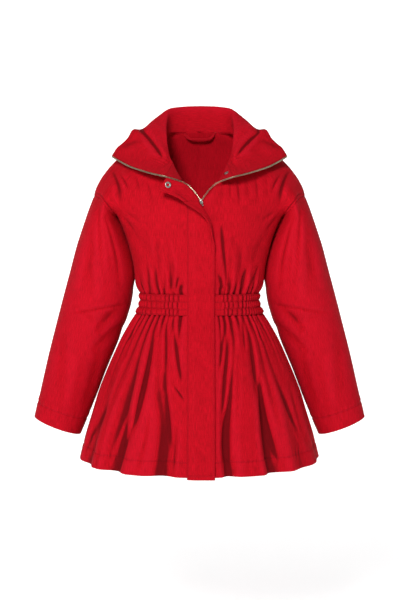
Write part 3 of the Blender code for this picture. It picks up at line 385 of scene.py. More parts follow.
FRONT_LEFT = [
    # turn at band, turn above, depth at band, depth above, reach, before, after
    (0.20, 0.11, 3.0, 0.0, 0.12, 0.6, 0.6),
    (0.28, 0.25, 3.6, 0.0, 0.36, 0.6, 0.6),
    (0.36, 0.38, 3.2, 0.0, 0.16, 0.6, 0.6),
    (0.45, 0.51, 3.6, 0.0, 0.40, 0.7, 0.7),
    (0.57, 0.64, 3.0, 0.0, 0.14, 0.6, 0.6),
    (0.75, 0.79, 2.6, 0.0, 0.18, 0.6, 0.6),
]
FRONT_RIGHT = [
    (0.20, 0.10, 3.0, 0.0, 0.10, 0.6, 0.6),
    (0.27, 0.22, 3.6, 0.0, 0.42, 0.6, 0.6),
    (0.35, 0.36, 3.0, 0.0, 0.12, 0.6, 0.6),
    (0.46, 0.50, 3.4, 0.0, 0.36, 0.7, 0.7),
    (0.58, 0.63, 3.0, 0.0, 0.16, 0.6, 0.6),
    (0.76, 0.80, 2.6, 0.0, 0.14, 0.6, 0.6),
]
BACK_GATHERS = [
    (0.20, 0.20, 3.0, 0.0, 0.16, 0.6, 0.6),
    (0.38, 0.40, 3.4, 0.0, 0.34, 0.6, 0.6),
    (0.58, 0.60, 3.2, 0.0, 0.20, 0.6, 0.6),
    (0.78, 0.80, 3.0, 0.0, 0.30, 0.6, 0.6),
]
FALL = 1.3  # how soon a row drops from its inner edge to its outer edge


def panel(edge, depth_column, sign, turn, up):
    """A front or back: each row is a quarter round from its inner edge to its outer edge.

    Below the underarm the outer edge is the side seam, and above it the armhole.
    """
    low = np.clip(up / 0.5, 0, 1)
    inner_top, inner_y = edge[0][3], edge[0][2]
    height = BAND_TOP + (inner_top - BAND_TOP) * low
    outer_height = BAND_TOP + (ARMHOLE[7][3] - BAND_TOP) * low
    rings = through(RINGS, height)
    settle = inner_y - sign * through(RINGS, np.array(inner_top))[depth_column]
    start = stack(edge[0][1], sign * rings[..., depth_column] + settle * low, height)
    start = np.where((up > 0.5)[..., None], through(edge, up), start)
    end = stack(through(RINGS, outer_height)[..., 0], 0, outer_height)
    share = 1 - up if sign < 0 else up
    end = np.where((up >= 0.5)[..., None], armhole(share), end)
    front_square, back_square, forward = np.moveaxis(through(SECTIONS, up), -1, 0)
    square = front_square if sign < 0 else back_square
    middle = forward * (start[..., 1] + end[..., 1]) / 2
    corner = stack(start[..., 0], middle, end[..., 2])
    points = quarter(start, end, corner, turn, square)
    fall = np.cos(np.radians(90) * turn).clip(0) ** FALL
    points[..., 2] = end[..., 2] + (start - end)[..., 2] * fall
    return points

# %% Sleeve form
SLEEVE = [
    # share down, outer x, outer height, inner x, inner height, middle y, half depth
    (0.00, 225.8, -111.4, 174.6, -155.2, 1.0, 78.0),
    (0.05, 233.0, -130.0, 172.6, -172.0, 2.0, 80.0),
    (0.12, 242.5, -156.0, 162.8, -192.0, 4.0, 80.0),
    (0.25, 262.0, -213.0, 144.8, -250.0, 9.0, 78.0),
    (0.38, 281.0, -280.0, 143.0, -310.0, 15.0, 75.0),
    (0.47, 293.0, -322.0, 149.5, -348.0, 20.0, 72.0),
    (0.60, 309.0, -380.0, 172.0, -412.0, 27.0, 68.0),
    (0.75, 327.5, -450.0, 203.0, -486.0, 31.0, 62.0),
    (0.90, 346.0, -530.0, 234.0, -566.0, 30.0, 55.0),
    (1.00, 359.0, -588.0, 260.0, -626.0, 27.0, 50.0),
]
SLEEVE_FOLDS = [
    # share round and down where it starts and ends, depth, half width
    (0.20, 0.02, 0.26, 0.36, 3.5, 9.0),
    (0.30, 0.04, 0.36, 0.40, 3.0, 8.0),
    (0.40, 0.46, 0.16, 0.54, 4.0, 12.0),
    (0.70, 0.03, 0.66, 0.34, 3.5, 9.0),
    (0.62, 0.44, 0.84, 0.56, 4.0, 12.0),
]
ROUND_SLEEVE = 460.0  # cloth round the sleeve
CUFF_START = 0.931  # the hem is turned up and stitched from here down
CUFF_STEP = 0.9  # how far the turned hem stands out


def sleeve_ring(share, down):
    """A ring of the sleeve: an oval between its outer and inner points."""
    outer_x, outer_z, inner_x, inner_z, middle_y, depth = np.moveaxis(through(SLEEVE, down), -1, 0)
    turn = 2 * np.pi * share
    across = 0.5 + 0.5 * np.cos(turn)
    x = inner_x + (outer_x - inner_x) * across
    z = inner_z + (outer_z - inner_z) * across
    return stack(x, middle_y - depth * np.sin(turn), z)


def sleeve(share, down):
    """From the armhole's own curve into the sleeve's rings."""
    leave = ease(down / 0.10)[..., None]
    seam = armhole(share) + (sleeve_ring(share, down) - sleeve_ring(share, 0 * down))
    return seam * (1 - leave) + sleeve_ring(share, down) * leave

# %% [markdown]
# ## The frame's opened edges
#
# The zip's edge runs up the opened lapel and the collar's front to the collar's corner.
# Lapels, collar and the placket's turned-back corner all start from it.

# %% Zip edge and lapel form
# The zip's edge: from the slider up the opened lapel and the collar's front to its corner.
ZIP_EDGE = [
    # share of its length, x, y, height
    (0.00, 3.2, -123.5, -125.0),
    (0.10, 11.5, -120.5, -112.5),
    (0.20, 22.0, -115.5, -99.5),
    (0.28, 31.0, -113.5, -91.0),
    (0.38, 46.0, -117.0, -83.5),
    (0.50, 72.0, -127.0, -75.5),
    (0.60, 97.0, -117.0, -69.0),
    (0.70, 122.0, -99.0, -61.0),
    (0.80, 146.0, -75.0, -51.5),
    (0.90, 167.0, -52.0, -40.0),
    (1.00, 184.5, -36.0, -29.0),
]
ZIP_WIDE = 3.6
TAPE_EDGE = np.array([0.0, 0.0, ZIP_WIDE / 2 + 0.45])  # from the zip's middle to the cloth above it
LAPEL_LIFT = 0.45  # the lapel's underside clears the front at the roll by this
LAPEL_UP = (0.64, 0.68, 0.715, 0.75)  # rows along the roll, as shares of FRONT_EDGE
SEAM_ON_ZIP = 0.50  # where the seam between lapel and collar meets the zip's edge


def to_side(points, side):
    """Turns a piece worked out for the right to its own side. Centre front is not at x = 0."""
    if side > 0:
        return points
    shift = 2 * CENTRE_X * ease(1 - (points[..., :1] - CENTRE_X) / 120)
    return mirrored(points - shift * [1, 0, 0])


def zip_edge(share):
    return through(ZIP_EDGE, share)


def roll_line(up):
    """The lapel's fold: the front's edge, moved out so that the turned lapel clears it."""
    edge = through(FRONT_EDGE, up)
    out = np.array([0.35, -0.86, 0.35])
    return edge + out * (DOUBLE + LAPEL_LIFT)


def seam_frame():
    """Where the collar joins the lapel: both ends, the way out, and the way to the collar."""
    low = zip_edge(np.array(SEAM_ON_ZIP)) + TAPE_EDGE
    high = roll_line(np.array(0.75))
    along = (high - low) / np.linalg.norm(high - low)
    wing = zip_edge(np.array(0.7)) - low
    out = np.cross(wing, along)
    out[2] = 0
    out *= -np.sign(out[1]) / np.linalg.norm(out)
    to_collar = np.cross(along, out)
    to_collar *= np.sign(to_collar[0]) / np.linalg.norm(to_collar)
    return low, high, out, to_collar


def lapel_surface():
    """The turned-out top of the right front, from its roll to the zip, and its way out."""
    low, high, seam_out, to_collar = seam_frame()
    up, across = np.meshgrid(LAPEL_UP, np.linspace(0, 1, 4), indexing="ij")
    share = 0.36 + (SEAM_ON_ZIP - 0.36) * (up - LAPEL_UP[0]) / (LAPEL_UP[-1] - LAPEL_UP[0])
    inner = roll_line(up)
    outer = zip_edge(share) + TAPE_EDGE
    points = inner + (outer - inner) * across[..., None]
    points[-1] = high + (low - high) * across[-1][:, None]
    out = normals(points, quads(*points.shape[:2]))
    out = out if (out[..., 1]).sum() < 0 else -out
    flatten(out, (slice(None), -1), 2)
    out[-1] = seam_out
    points[-1] -= to_collar * HALF_SEAM
    return points, out

# %% Collar form
# Sections across the collar: the stand rises to the roll, the fall drops to a valley, and
# from there the opened front spreads as a wing to the collar's free edge.
COLLAR = [
    # share from the zip to centre back, then x, y, height of: roll, fall, valley, wing, edge
    (0.12, 80, -98, -58, 98, -89, -51, 116, -76, -44, 148, -49, -31, 181, -25, -19),
    (0.25, 64, -68, -42, 73, -70, -35, 86, -67, -31, 129, -39, -16, 174, -17, -8),
    (0.35, 66, -51, -25, 75, -54, -17, 90, -60, -22, 125, -30, -6, 163, -10, 2),
    (0.47, 70, -28, -4, 92, -22, 13, 113, -30, 4, 132, -16, 10, 153, -4, 13),
    (0.58, 72, -5, 19, 100, 6, 37, 127, -3, 26, 134, 2, 29, 143, 9, 31),
    (0.68, 74, 30, 49, 99, 36, 52, 121, 30, 36, 126, 31, 33, 131, 32, 32),
    (0.78, 73, 67, 79, 92, 72, 64, 107, 76, 42, 113, 77, 30, 118, 78, 18),
    (0.88, 46, 87, 87.5, 55, 104, 68, 61, 112, 44, 63, 114, 29, 65, 115, 15),
    (1.00, 0, 92, 90, 0, 109, 70, 0, 116, 44, 0, 117, 28, 0, 117, 13),
]
COLLAR_PLACES = (0.0, 0.36, 0.52, 0.68, 0.84, 1.0)  # of neck seam, roll, fall, valley, wing, edge
COLLAR_ON_ZIP = (0.5, 0.58, 0.66, 0.74, 0.87, 1.0)  # where those places lie along the zip
COLLAR_LIFT = 0.9  # above the neck's seam
FRONT_NECK = 0.25  # share along the collar where its seam leaves the lapel
SHOULDER = 0.62  # share along the collar above the shoulder seam


def collar_surface(shares, seam, across):
    """The face that shows, from the neck's seam over the roll to the free edge."""
    free = zip_edge(np.array(COLLAR_ON_ZIP[1:])) + TAPE_EDGE
    table = np.concatenate([[[0.0, *free.ravel()]], COLLAR])
    knots = through(table, shares).reshape(len(shares), -1, 3)
    knots = np.concatenate([seam[:, None], knots], axis=1)
    rows = [zip_edge(np.interp(across, COLLAR_PLACES, COLLAR_ON_ZIP)) + TAPE_EDGE]
    for knot in knots[1:]:
        steps = np.linalg.norm(np.diff(knot, axis=0), axis=1)
        run = np.concatenate([[0], np.cumsum(steps)])
        rows.append(through(np.column_stack([run, knot]), np.interp(across, COLLAR_PLACES, run)))
    rows = np.array(rows)
    rows[:, 0] = seam
    return rows

# %% Placket form
PLACKET_SEAM_X = -24.6
PLACKET_WIDE = 55.4
PLACKET_GAP = 0.5  # off the front at its seam
PLACKET_BELOW = 3.0  # its end hangs this far below the skirt's hem
PLACKET_BULGE = 2.6  # further off over the zip
FOLD_LENGTH = 7.0  # cloth taken up by the bend of the turned-back edge
# Where the free edge starts to turn back over the placket.
TURN_BACK = [
    # height, x of the bend, degrees turned
    (-705.0, 20.0, 0.0),
    (-236.0, 20.0, 0.0),
    (-226.0, 22.0, 18.0),
    (-214.0, 22.5, 62.0),
    (-203.0, 22.0, 102.0),
    (-182.0, 20.0, 118.0),
    (-165.0, 16.0, 126.0),
    (-150.0, 9.0, 138.0),
    (-139.0, 2.0, 150.0),
    (-130.0, -4.5, 162.0),
]
# Above the slider the turned-back part follows the zip's edge up to its end.
TURNED = [
    # share of the zip's edge beside the bend, then x, y, height of the free edge
    (0.04, -27.5, -134.0, -130.5),
    (0.10, -39.5, -136.0, -122.0),
    (0.20, -51.0, -136.5, -116.0),
    (0.30, -62.5, -136.0, -111.0),
    (0.40, -74.5, -135.5, -106.5),
    (0.49, -81.0, -134.0, -103.0),
]
BESIDE_ZIP = 2.5  # from the zip's middle to the placket's bend
AHEAD_OF_ZIP = 1.2


def front_y(x, height):
    """How far forward the fronts lie beside the zip at a height."""
    half, front, _, square = np.moveaxis(through(RINGS, height), -1, 0)
    up = 0.5 * (height - BAND_TOP) / (FRONT_EDGE[0][3] - BAND_TOP)
    square = np.where(up > 0, through(SECTIONS, up.clip(0, 0.5))[..., 0], square)
    away = np.abs(x - CENTRE_X) / (half - CENTRE_X)
    top = FRONT_EDGE[0]
    front = front - (top[2] + through(RINGS, np.array(top[3]))[1]) * 2 * up.clip(0, 0.5)
    return -front * (1 - away**square) ** (1 / square)


def turned_back():
    """The part of the placket that follows the opened zip, and the way to the viewer.

    Turned over, it shows the placket's inside: its wall lies in front of these points.
    """
    shares = np.linspace(TURNED[0][0], TURNED[-1][0], 9)
    edge = through(TURNED, shares)
    beside = to_side(zip_edge(shares), -1)
    ahead = to_side(zip_edge(shares + 0.01), -1) - beside
    away = np.cross(ahead, [0, 1.0, 0])
    away /= np.linalg.norm(away, axis=1, keepdims=True)
    away *= -np.sign(away[:, 2:])
    bend = beside + away * BESIDE_ZIP - [0, AHEAD_OF_ZIP, 0]
    along = np.array([0, 0.15, 0.55, 1.0])[:, None]
    points = bend[:, None] + (edge - bend)[:, None] * along
    out = normals(points, quads(*points.shape[:2]))
    return points, out if out[..., 1].sum() < 0 else -out

# %% Places of the fittings
PULL_PIVOT = (6.2, -125.2, -126.5)
SNAP_XZ = (-64.5, -93.4)
RIVET_XZ = (55.5, -67.5)
SEATED = 0.3  # a fitting stands this far off the cloth
SNAP_SEATED = 0.9  # more where the cloth curves under it
LOOP = [
    # x, y, height
    (-32.0, 73.0, 28.4),
    (-29.0, 71.4, 22.0),
    (-22.0, 70.2, 16.4),
    (-11.0, 70.0, 15.0),
    (0.0, 70.0, 14.8),
    (11.0, 70.0, 15.0),
    (22.0, 70.2, 16.4),
    (29.0, 71.4, 22.0),
    (32.0, 73.0, 28.4),
]
LOOP_WIDE = 5.0


def nearest(points, out, x, z):
    """The grid's finest point that shows at x and z, and the way out of the cloth there."""
    fine = np.linspace(0, 1, 41)
    rows, columns = points.shape[:2]
    i, a = np.divmod(fine * (rows - 1), 1)
    j, b = np.divmod(fine * (columns - 1), 1)
    i, j = i.clip(0, rows - 2).astype(int), j.clip(0, columns - 2).astype(int)
    a, b = (fine * (rows - 1) - i)[:, None, None], (fine * (columns - 1) - j)[None, :, None]
    both = np.concatenate([points, out], axis=-1)
    i, j = i[:, None], j[None]
    low = both[i, j] * (1 - b) + both[i, j + 1] * b
    high = both[i + 1, j] * (1 - b) + both[i + 1, j + 1] * b
    at = (low * (1 - a) + high * a).reshape(-1, 6)
    best = at[np.argmin((at[:, 0] - x) ** 2 + (at[:, 2] - z) ** 2)]
    return best[:3], best[3:] / np.linalg.norm(best[3:])

# %% [markdown]
# ## The photograph's frame
#
# The camera stands 2.6 m off, a little above. `seen` gives where a point lands in the
# 400 by 600 frame, so that a fold can be written down where it is seen. Folds on the
# back and sides are written down as a camera behind or beside would see them.

# %% Where a point is seen
CAMERA_AT = np.array([0.001, -2.596, -0.193])
CAMERA_DOWN = np.radians(3.1)
LENS = 72.6
SENSOR = 36.0
FRAME = (400, 600)
VIEW = np.array([0, np.cos(CAMERA_DOWN), -np.sin(CAMERA_DOWN)])
UP = np.array([0, np.sin(CAMERA_DOWN), np.cos(CAMERA_DOWN)])
FRONT = np.array([1.0, 1.0, 1.0])
BEHIND = np.array([-1.0, -1.0, 1.0])


def seen(points):
    """Pixels across and down: sideways and upward distance over distance away, scaled."""
    away = points * MM - CAMERA_AT
    scale = LENS / SENSOR * FRAME[1] / (away @ VIEW)
    return stack(FRAME[0] / 2 + away[..., 0] * scale, FRAME[1] / 2 - (away @ UP) * scale)


# %% Listed folds
def folds(points, table, side=FRONT):
    """How far the listed folds lift the cloth, in millimetres.

    A row is a soft line from start to end, and its middle bows sideways by bend pixels.
    Across the line the height falls off as exp(-(distance / width)^2), with one width
    before the line and another after it, and along the line it fades at both ends.
    """
    place = seen(points * side)
    total = np.zeros(points.shape[:-1])
    for x0, y0, x1, y1, bend, height, before, after in table:
        start, line = np.array([x0, y0]), np.array([x1 - x0, y1 - y0])
        length = np.hypot(*line)
        line = line / length
        run = (place - start) @ line / length
        away = (place - start) @ [line[1], -line[0]] - bend * 4 * run * (1 - run)
        width = np.where(away < 0, before, after)
        total += height * np.exp(-((away / width) ** 2)) * np.sin(np.pi * run.clip(0, 1)) ** 0.6
    return total


def wander(x, seed):
    """A slow uneven wave between -1 and 1: three sines of unrelated lengths."""
    return (np.sin(x + seed) + np.sin(2.3 * x + 1.7 * seed) + np.sin(0.61 * x + 2.9 * seed)) / 3


def shirring(run, pitch, seed):
    """Sharp valleys between soft ridges, no two alike. Run is the distance along the seam."""
    place = run / pitch + 1.1 * wander(run / (3 * pitch), seed)
    deep = 0.62 + 0.38 * wander(run / (1.3 * pitch), seed + 4)
    return deep * (0.5 + 0.5 * np.cos(2 * np.pi * place)) ** 1.7


# %% [markdown]
# ## Cloth
#
# `cloth` turns a grid into a thin wall with rounded edges. The distance along the cloth
# gives it UVs in metres, so the twill keeps its scale wherever the cloth gathers.
#
# A stitched line is stored as a signed distance that passes through nought on the line
# and turns back half-way to the next. The shader draws thread and puckers from it, and
# paints shade into the dent beside the thread. Each point also keeps how deep it lies in a
# fold, for painted shade in the valleys and a painted highlight on the crests.

# %% Lengths, lines and edges
def runs(points):
    """Distance along each row and down each column, in millimetres."""
    across = np.linalg.norm(np.diff(points, axis=1), axis=-1)
    down = np.linalg.norm(np.diff(points, axis=0), axis=-1)
    return np.pad(np.cumsum(across, 1), ((0, 0), (1, 0))), np.pad(np.cumsum(down, 0), ((1, 0), (0, 0)))


def to_lines(distance, places):
    """Signed distance to the nearest of several parallel lines, continuous between them."""
    places = np.asarray(places, float)
    away = distance[..., None] - places
    near = np.abs(away).min(-1)
    return near * np.where((away > 0).sum(-1) % 2 == 1, 1, -1)


def hollows(points, out, passes=20):
    """How far each point lies below its neighbours' mean, in millimetres: more in a valley."""
    mean = points.copy()
    for _ in range(passes):
        mean[:, 1:-1] += 0.5 * ((mean[:, 2:] + mean[:, :-2]) / 2 - mean[:, 1:-1])
    return ((mean - points) * out).sum(-1)


def lone_edges(faces, count):
    """The directed edges that only one face has."""
    edges = np.concatenate([faces[:, [i, (i + 1) % 4]] for i in range(4)])
    edges = edges[edges[:, 0] != edges[:, 1]]
    paired = np.isin(edges[:, 0] * count + edges[:, 1], edges[:, 1] * count + edges[:, 0])
    return edges[~paired]


# %% A wall of cloth
NO_LINE = 500.0  # stands for no stitched line near
EDGE_BULGE = 0.3  # a cut edge rounds out by this share of the thickness


def cloth(
    name, points, out, thick=CLOTH, body="jacket", row_lines=None, column_lines=None, kept=None, weld=None, grain=None
):
    """A wall from a grid of outer points: outer face, inner face moved in, and a round rim."""
    rows, columns = points.shape[:2]
    count = rows * columns
    loops = quads(rows, columns, kept=kept)
    if (normals(points, loops) * out).sum() < 0:
        loops = loops[:, ::-1]
    faces = loops if weld is None else weld[loops]
    hollow = hollows(points, out)
    round_it, down_it = runs(points)
    flat = points.reshape(-1, 3)
    diagonals = (flat[loops[:, i + 2]] - flat[loops[:, i]] for i in (0, 1))
    area = np.linalg.norm(np.cross(*diagonals), axis=1).sum() / 2
    print(f"{name}: {round_it.max():.0f} wide, {down_it.max():.0f} long, {area * MM * MM:.4f} square metres")
    outer, out = points.reshape(-1, 3), out.reshape(-1, 3)
    thick = np.broadcast_to(thick, (rows, columns)).reshape(-1, 1)
    a, b = lone_edges(faces, count).T
    side = np.cross(outer[b] - outer[a], out[a])
    push = np.zeros_like(outer)
    np.add.at(push, a, side)
    np.add.at(push, b, side)
    push /= np.linalg.norm(push, axis=1, keepdims=True).clip(1e-9)
    places = np.concatenate([outer, outer - out * thick / 2 + push * thick * EDGE_BULGE, outer - out * thick])
    rim = np.stack([b, a, a + count, b + count], 1)
    shell = np.concatenate([faces, faces[:, ::-1] + 2 * count, rim, rim + count])
    corners = np.concatenate([loops, loops[:, ::-1], *[np.stack([b, a, a, b], 1)] * 2])
    used = np.unique(shell)
    slot = np.full(3 * count, -1)
    slot[used] = np.arange(len(used))
    mesh = bpy.data.meshes.new(name)
    mesh.from_pydata((places[used] * MM).tolist(), [], slot[shell].tolist())
    uv = np.stack(runs(points) if grain is None else grain, -1).reshape(-1, 2) * MM
    mesh.uv_layers.new(name="cloth").data.foreach_set("uv", uv[corners.ravel()].ravel())
    for field, line in (("row_line", row_lines), ("column_line", column_lines)):
        value = np.full(count, NO_LINE) if line is None else np.broadcast_to(line, (rows, columns)).ravel()
        mesh.attributes.new(field, "FLOAT", "POINT").data.foreach_set("value", np.tile(value * MM, 3)[used])
    # How deep each point lies in a fold, for the painted shade in valleys and painted highlight on crests.
    mesh.attributes.new("hollow", "FLOAT", "POINT").data.foreach_set("value", np.tile(hollow.ravel(), 3)[used])
    return finished(name, mesh, body, TWILL)


def finished(name, mesh, body, surface, nodes=()):
    """Puts a mesh in the scene with its material and its body, and hides the frame's part for the node it stands for.
    """
    mesh.materials.append(surface)
    mesh.shade_smooth()
    made = bpy.data.objects.new(name, mesh)
    bpy.context.scene.collection.objects.link(made)
    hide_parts(*(nodes or [name.removeprefix("cloth_")]))
    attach(made, body)
    print(name, len(mesh.polygons), "faces")
    return made


STITCH_DIP = 1.4  # how far a row of stitches sinks into the cloth


def upright(points):
    """The grain of a body panel: round the body, and straight down."""
    return np.arctan2(points[..., 0], -points[..., 1]) * MEAN_RADIUS, -points[..., 2]


MEAN_RADIUS = 130.0  # of the bodice, from its middle to its cloth


def sewn(distance, depth=1.1, width=2.6):
    """The dip where cloth turns in at a seam: deepest on the seam, gone in a few millimetres."""
    return -depth * np.exp(-((distance / width) ** 2))


def puckers(along, distance, seed, depth=0.5, pitch=9.0, reach=9.0):
    """Small ripples that a line of stitches draws into the cloth on both sides of it."""
    return -depth * shirring(along, pitch, seed) * np.exp(-((distance / reach) ** 2))

# %% [markdown]
# ## Shader maths
#
# `Maths` wraps a node's socket, so a pattern is written as a formula and each operator
# adds its own Math node. `Board` makes every other node.

# %% Sockets that add up
class Maths:
    def __init__(self, board, socket):
        self.board, self.socket = board, socket

    def do(self, operation, *others):
        return self.board.node("Math", {"operation": operation}, dict(enumerate([self, *others])))

    def __add__(self, other):
        return self.do("ADD", other)

    def __mul__(self, other):
        return self.do("MULTIPLY", other)

    def __sub__(self, other):
        return self.do("SUBTRACT", other)

    def __rsub__(self, other):
        return self * -1 + other

    def __truediv__(self, other):
        return self.do("DIVIDE", other)

    __radd__ = __add__
    __rmul__ = __mul__

    def above(self, low, high):
        """Nought below low, one above high, straight between."""
        return self.board.node(
            "MapRange", {"interpolation_type": "SMOOTHSTEP"}, {"Value": self, "From Min": low, "From Max": high}
        )


class Board:
    """The nodes of one material."""

    def __init__(self, name):
        self.material = bpy.data.materials.new(name)
        self.material.use_nodes = True
        self.tree = self.material.node_tree
        self.shader = self.tree.nodes["Principled BSDF"]

    def put(self, socket, value):
        if isinstance(value, Maths):
            self.tree.links.new(value.socket, socket)
        else:
            socket.default_value = value

    def node(self, kind, settings, values, output=0):
        made = self.tree.nodes.new("ShaderNode" + kind)
        for key, value in settings.items():
            setattr(made, key, value)
        for key, value in values.items():
            self.put(made.inputs[key], value)
        return Maths(self, made.outputs[output])

    def attribute(self, name):
        return self.node("Attribute", {"attribute_name": name}, {}, "Fac")

    def noise(self, place, scale, detail=2.0, rough=0.5):
        return self.node("TexNoise", {}, {"Vector": place, "Scale": scale, "Detail": detail, "Roughness": rough})

    def blend(self, share, first, second):
        values = {"Factor": share, 6: first, 7: second}
        return self.node("Mix", {"data_type": "RGBA", "clamp_factor": True}, values, 2)

    def bump(self, height, distance, strength=1.0):
        return self.node("Bump", {}, {"Height": height, "Distance": distance, "Strength": strength})


# %% [markdown]
# ## Red twill
#
# Garment-dyed cotton: the yarn is dyed after sewing, so stitches and rubbed patches stay a
# little paler. The twill's ribs lean across the cloth, and thick and thin yarns run down it
# as slubs. Threads are the cloth's own red. Painted shade darkens the valleys of folds and
# the dents of stitched lines, and a painted highlight pales the crests of folds. The cloth
# is matt, with the faint sheen of cotton fluff.

# %% Twill and its stitches
LIT_RED = (0.52, 0.0018, 0.0115, 1)
# Darker yarn tone, and the painted shade in the dents of stitched lines.
DARK_YARN_AND_DENT_SHADE_RED = (0.30, 0.0010, 0.0050, 1)
# Paler red for rubbed patches and stitches, and for the painted highlight on fold crests.
WORN_AND_HIGHLIGHT_RED = (0.66, 0.008, 0.030, 1)
PAINTED_FOLD_SHADE_RED = (0.085, 0.0004, 0.0018, 1)  # painted shade: darkens the valleys of gathers and folds
RIB = 1 / 0.0013  # ribs of the twill to a metre
STITCH = 0.0032  # length of one stitch and its gap
THREAD = 0.00045  # half the thread's width
GROOVE = 0.0024  # half the width of the dent that a stitched line makes


def stitches(line, along):
    """Thread along a line: dashes on it, and the dent they pull into the cloth."""
    away = line.do("ABSOLUTE")
    dash = (along / STITCH).do("FRACT")
    thread = (1 - away.above(THREAD * 0.6, THREAD * 1.4)) * (1 - dash.above(0.62, 0.74)) * dash.above(0.0, 0.12)
    return thread, 1 - away.above(0.0, GROOVE)


def red_twill():
    board = Board("red_twill_cloth")
    uv = board.node("UVMap", {"uv_map": "cloth"}, {})
    axes = board.node("SeparateXYZ", {}, {0: uv})
    across = Maths(board, axes.socket.node.outputs["X"])
    down = Maths(board, axes.socket.node.outputs["Y"])
    place = board.node("CombineXYZ", {}, {"X": across * 900, "Y": down * 60})
    slub = board.noise(place, 1.0, 3.0, 0.62)
    weft_place = board.node("CombineXYZ", {}, {"X": across * 60, "Y": down * 620, "Z": 7.0})
    weft = board.noise(weft_place, 1.0, 2.0)
    patch = board.noise(uv, 24.0, 3.0)
    drift = board.noise(uv, 300.0, 1.0)
    rib = ((across + down * 0.6) * (RIB * 2 * np.pi) + drift * 4).do("SINE") * 0.5 + 0.5
    row_thread, row_dent = stitches(board.attribute("row_line"), across)
    column_thread, column_dent = stitches(board.attribute("column_line"), down)
    thread = row_thread.do("MAXIMUM", column_thread)
    dent = row_dent.do("MAXIMUM", column_dent)
    yarn = slub * 0.80 + weft * 0.14 + patch * 0.14 + rib * 0.08
    colour = board.blend(yarn.above(0.36, 0.74), DARK_YARN_AND_DENT_SHADE_RED, LIT_RED)
    worn = slub.above(0.60, 0.80) * patch.above(0.45, 0.70) * 0.30 + thread * 0.55
    colour = board.blend(worn, colour, WORN_AND_HIGHLIGHT_RED)
    # Painted shade in the dent beside each stitched line.
    colour = board.blend(dent * (1 - thread) * 0.85, colour, DARK_YARN_AND_DENT_SHADE_RED)
    hollow = board.attribute("hollow")
    # Painted shade: the deeper a point lies in a fold's valley, the darker it is painted.
    colour = board.blend(hollow.above(0.04, 1.25) * 0.80, colour, PAINTED_FOLD_SHADE_RED)
    # Painted highlight: crests that stand above their neighbours are paled.
    colour = board.blend((hollow * -1).above(0.05, 1.2) * 0.20, colour, WORN_AND_HIGHLIGHT_RED)
    board.put(board.shader.inputs["Base Color"], colour)
    board.put(board.shader.inputs["Roughness"], 0.80 + slub * 0.12)
    board.shader.inputs["Sheen Weight"].default_value = 0.03
    board.shader.inputs["Sheen Roughness"].default_value = 0.45
    board.shader.inputs["Sheen Tint"].default_value = (1.0, 0.12, 0.16, 1)
    board.shader.inputs["Specular IOR Level"].default_value = 0.09
    height = slub * 0.55 + weft * 0.20 + rib * 0.25 + thread * 0.9 - dent * 1.1
    board.put(board.shader.inputs["Normal"], board.bump(height, 0.0005, 0.85))
    return board.material


TWILL = red_twill()

# %% [markdown]
# ## Metal
#
# The zip's teeth are old brass, pale and greenish. Slider, snap and rivet are bare steel,
# worn brighter and darker in soft patches, with fine scratches.

# %% Brass and steel
SCRATCH_ACROSS, SCRATCH_ALONG = 4200, 420  # noise scale, so a scratch is ten times as long as wide
PATCH_SCALE = 420.0


def metal(name, bright, dull, rough):
    """Worn metal: scratches are a noise drawn out along one way, patches a soft one."""
    board = Board(name)
    where = board.node("TexCoord", {}, {}, "Object")
    axes = board.node("SeparateXYZ", {}, {0: where}).socket.node.outputs
    place = board.node(
        "CombineXYZ",
        {},
        {
            "X": Maths(board, axes["X"]) * SCRATCH_ACROSS,
            "Y": Maths(board, axes["Y"]) * SCRATCH_ACROSS,
            "Z": Maths(board, axes["Z"]) * SCRATCH_ALONG,
        },
    )
    scratch = board.noise(place, 1.0, 2.0)
    patch = board.noise(where, PATCH_SCALE, 2.0)
    board.put(
        board.shader.inputs["Base Color"],
        board.blend((patch * 0.7 + scratch * 0.3).above(0.35, 0.65), dull, bright),
    )
    board.put(board.shader.inputs["Roughness"], patch * 0.16 + scratch * 0.12 + rough)
    board.shader.inputs["Metallic"].default_value = 1.0
    board.put(board.shader.inputs["Normal"], board.bump(scratch, 0.00006, 0.6))
    return board.material


BRASS = metal("worn_brass", (0.66, 0.60, 0.44, 1), (0.36, 0.33, 0.22, 1), 0.26)
STEEL = metal("worn_steel", (0.58, 0.57, 0.54, 1), (0.26, 0.25, 0.23, 1), 0.24)

# %% [markdown]
# ## Skirt
#
# A gathered skirt is a wide strip drawn up to the waist. A few gathers open into flutes
# of the hem, and the many small ones between them die out within a hand's breadth. The
# frame gives the flutes. Here the small gathers and the creases of the photograph are
# pressed into a finer grid.

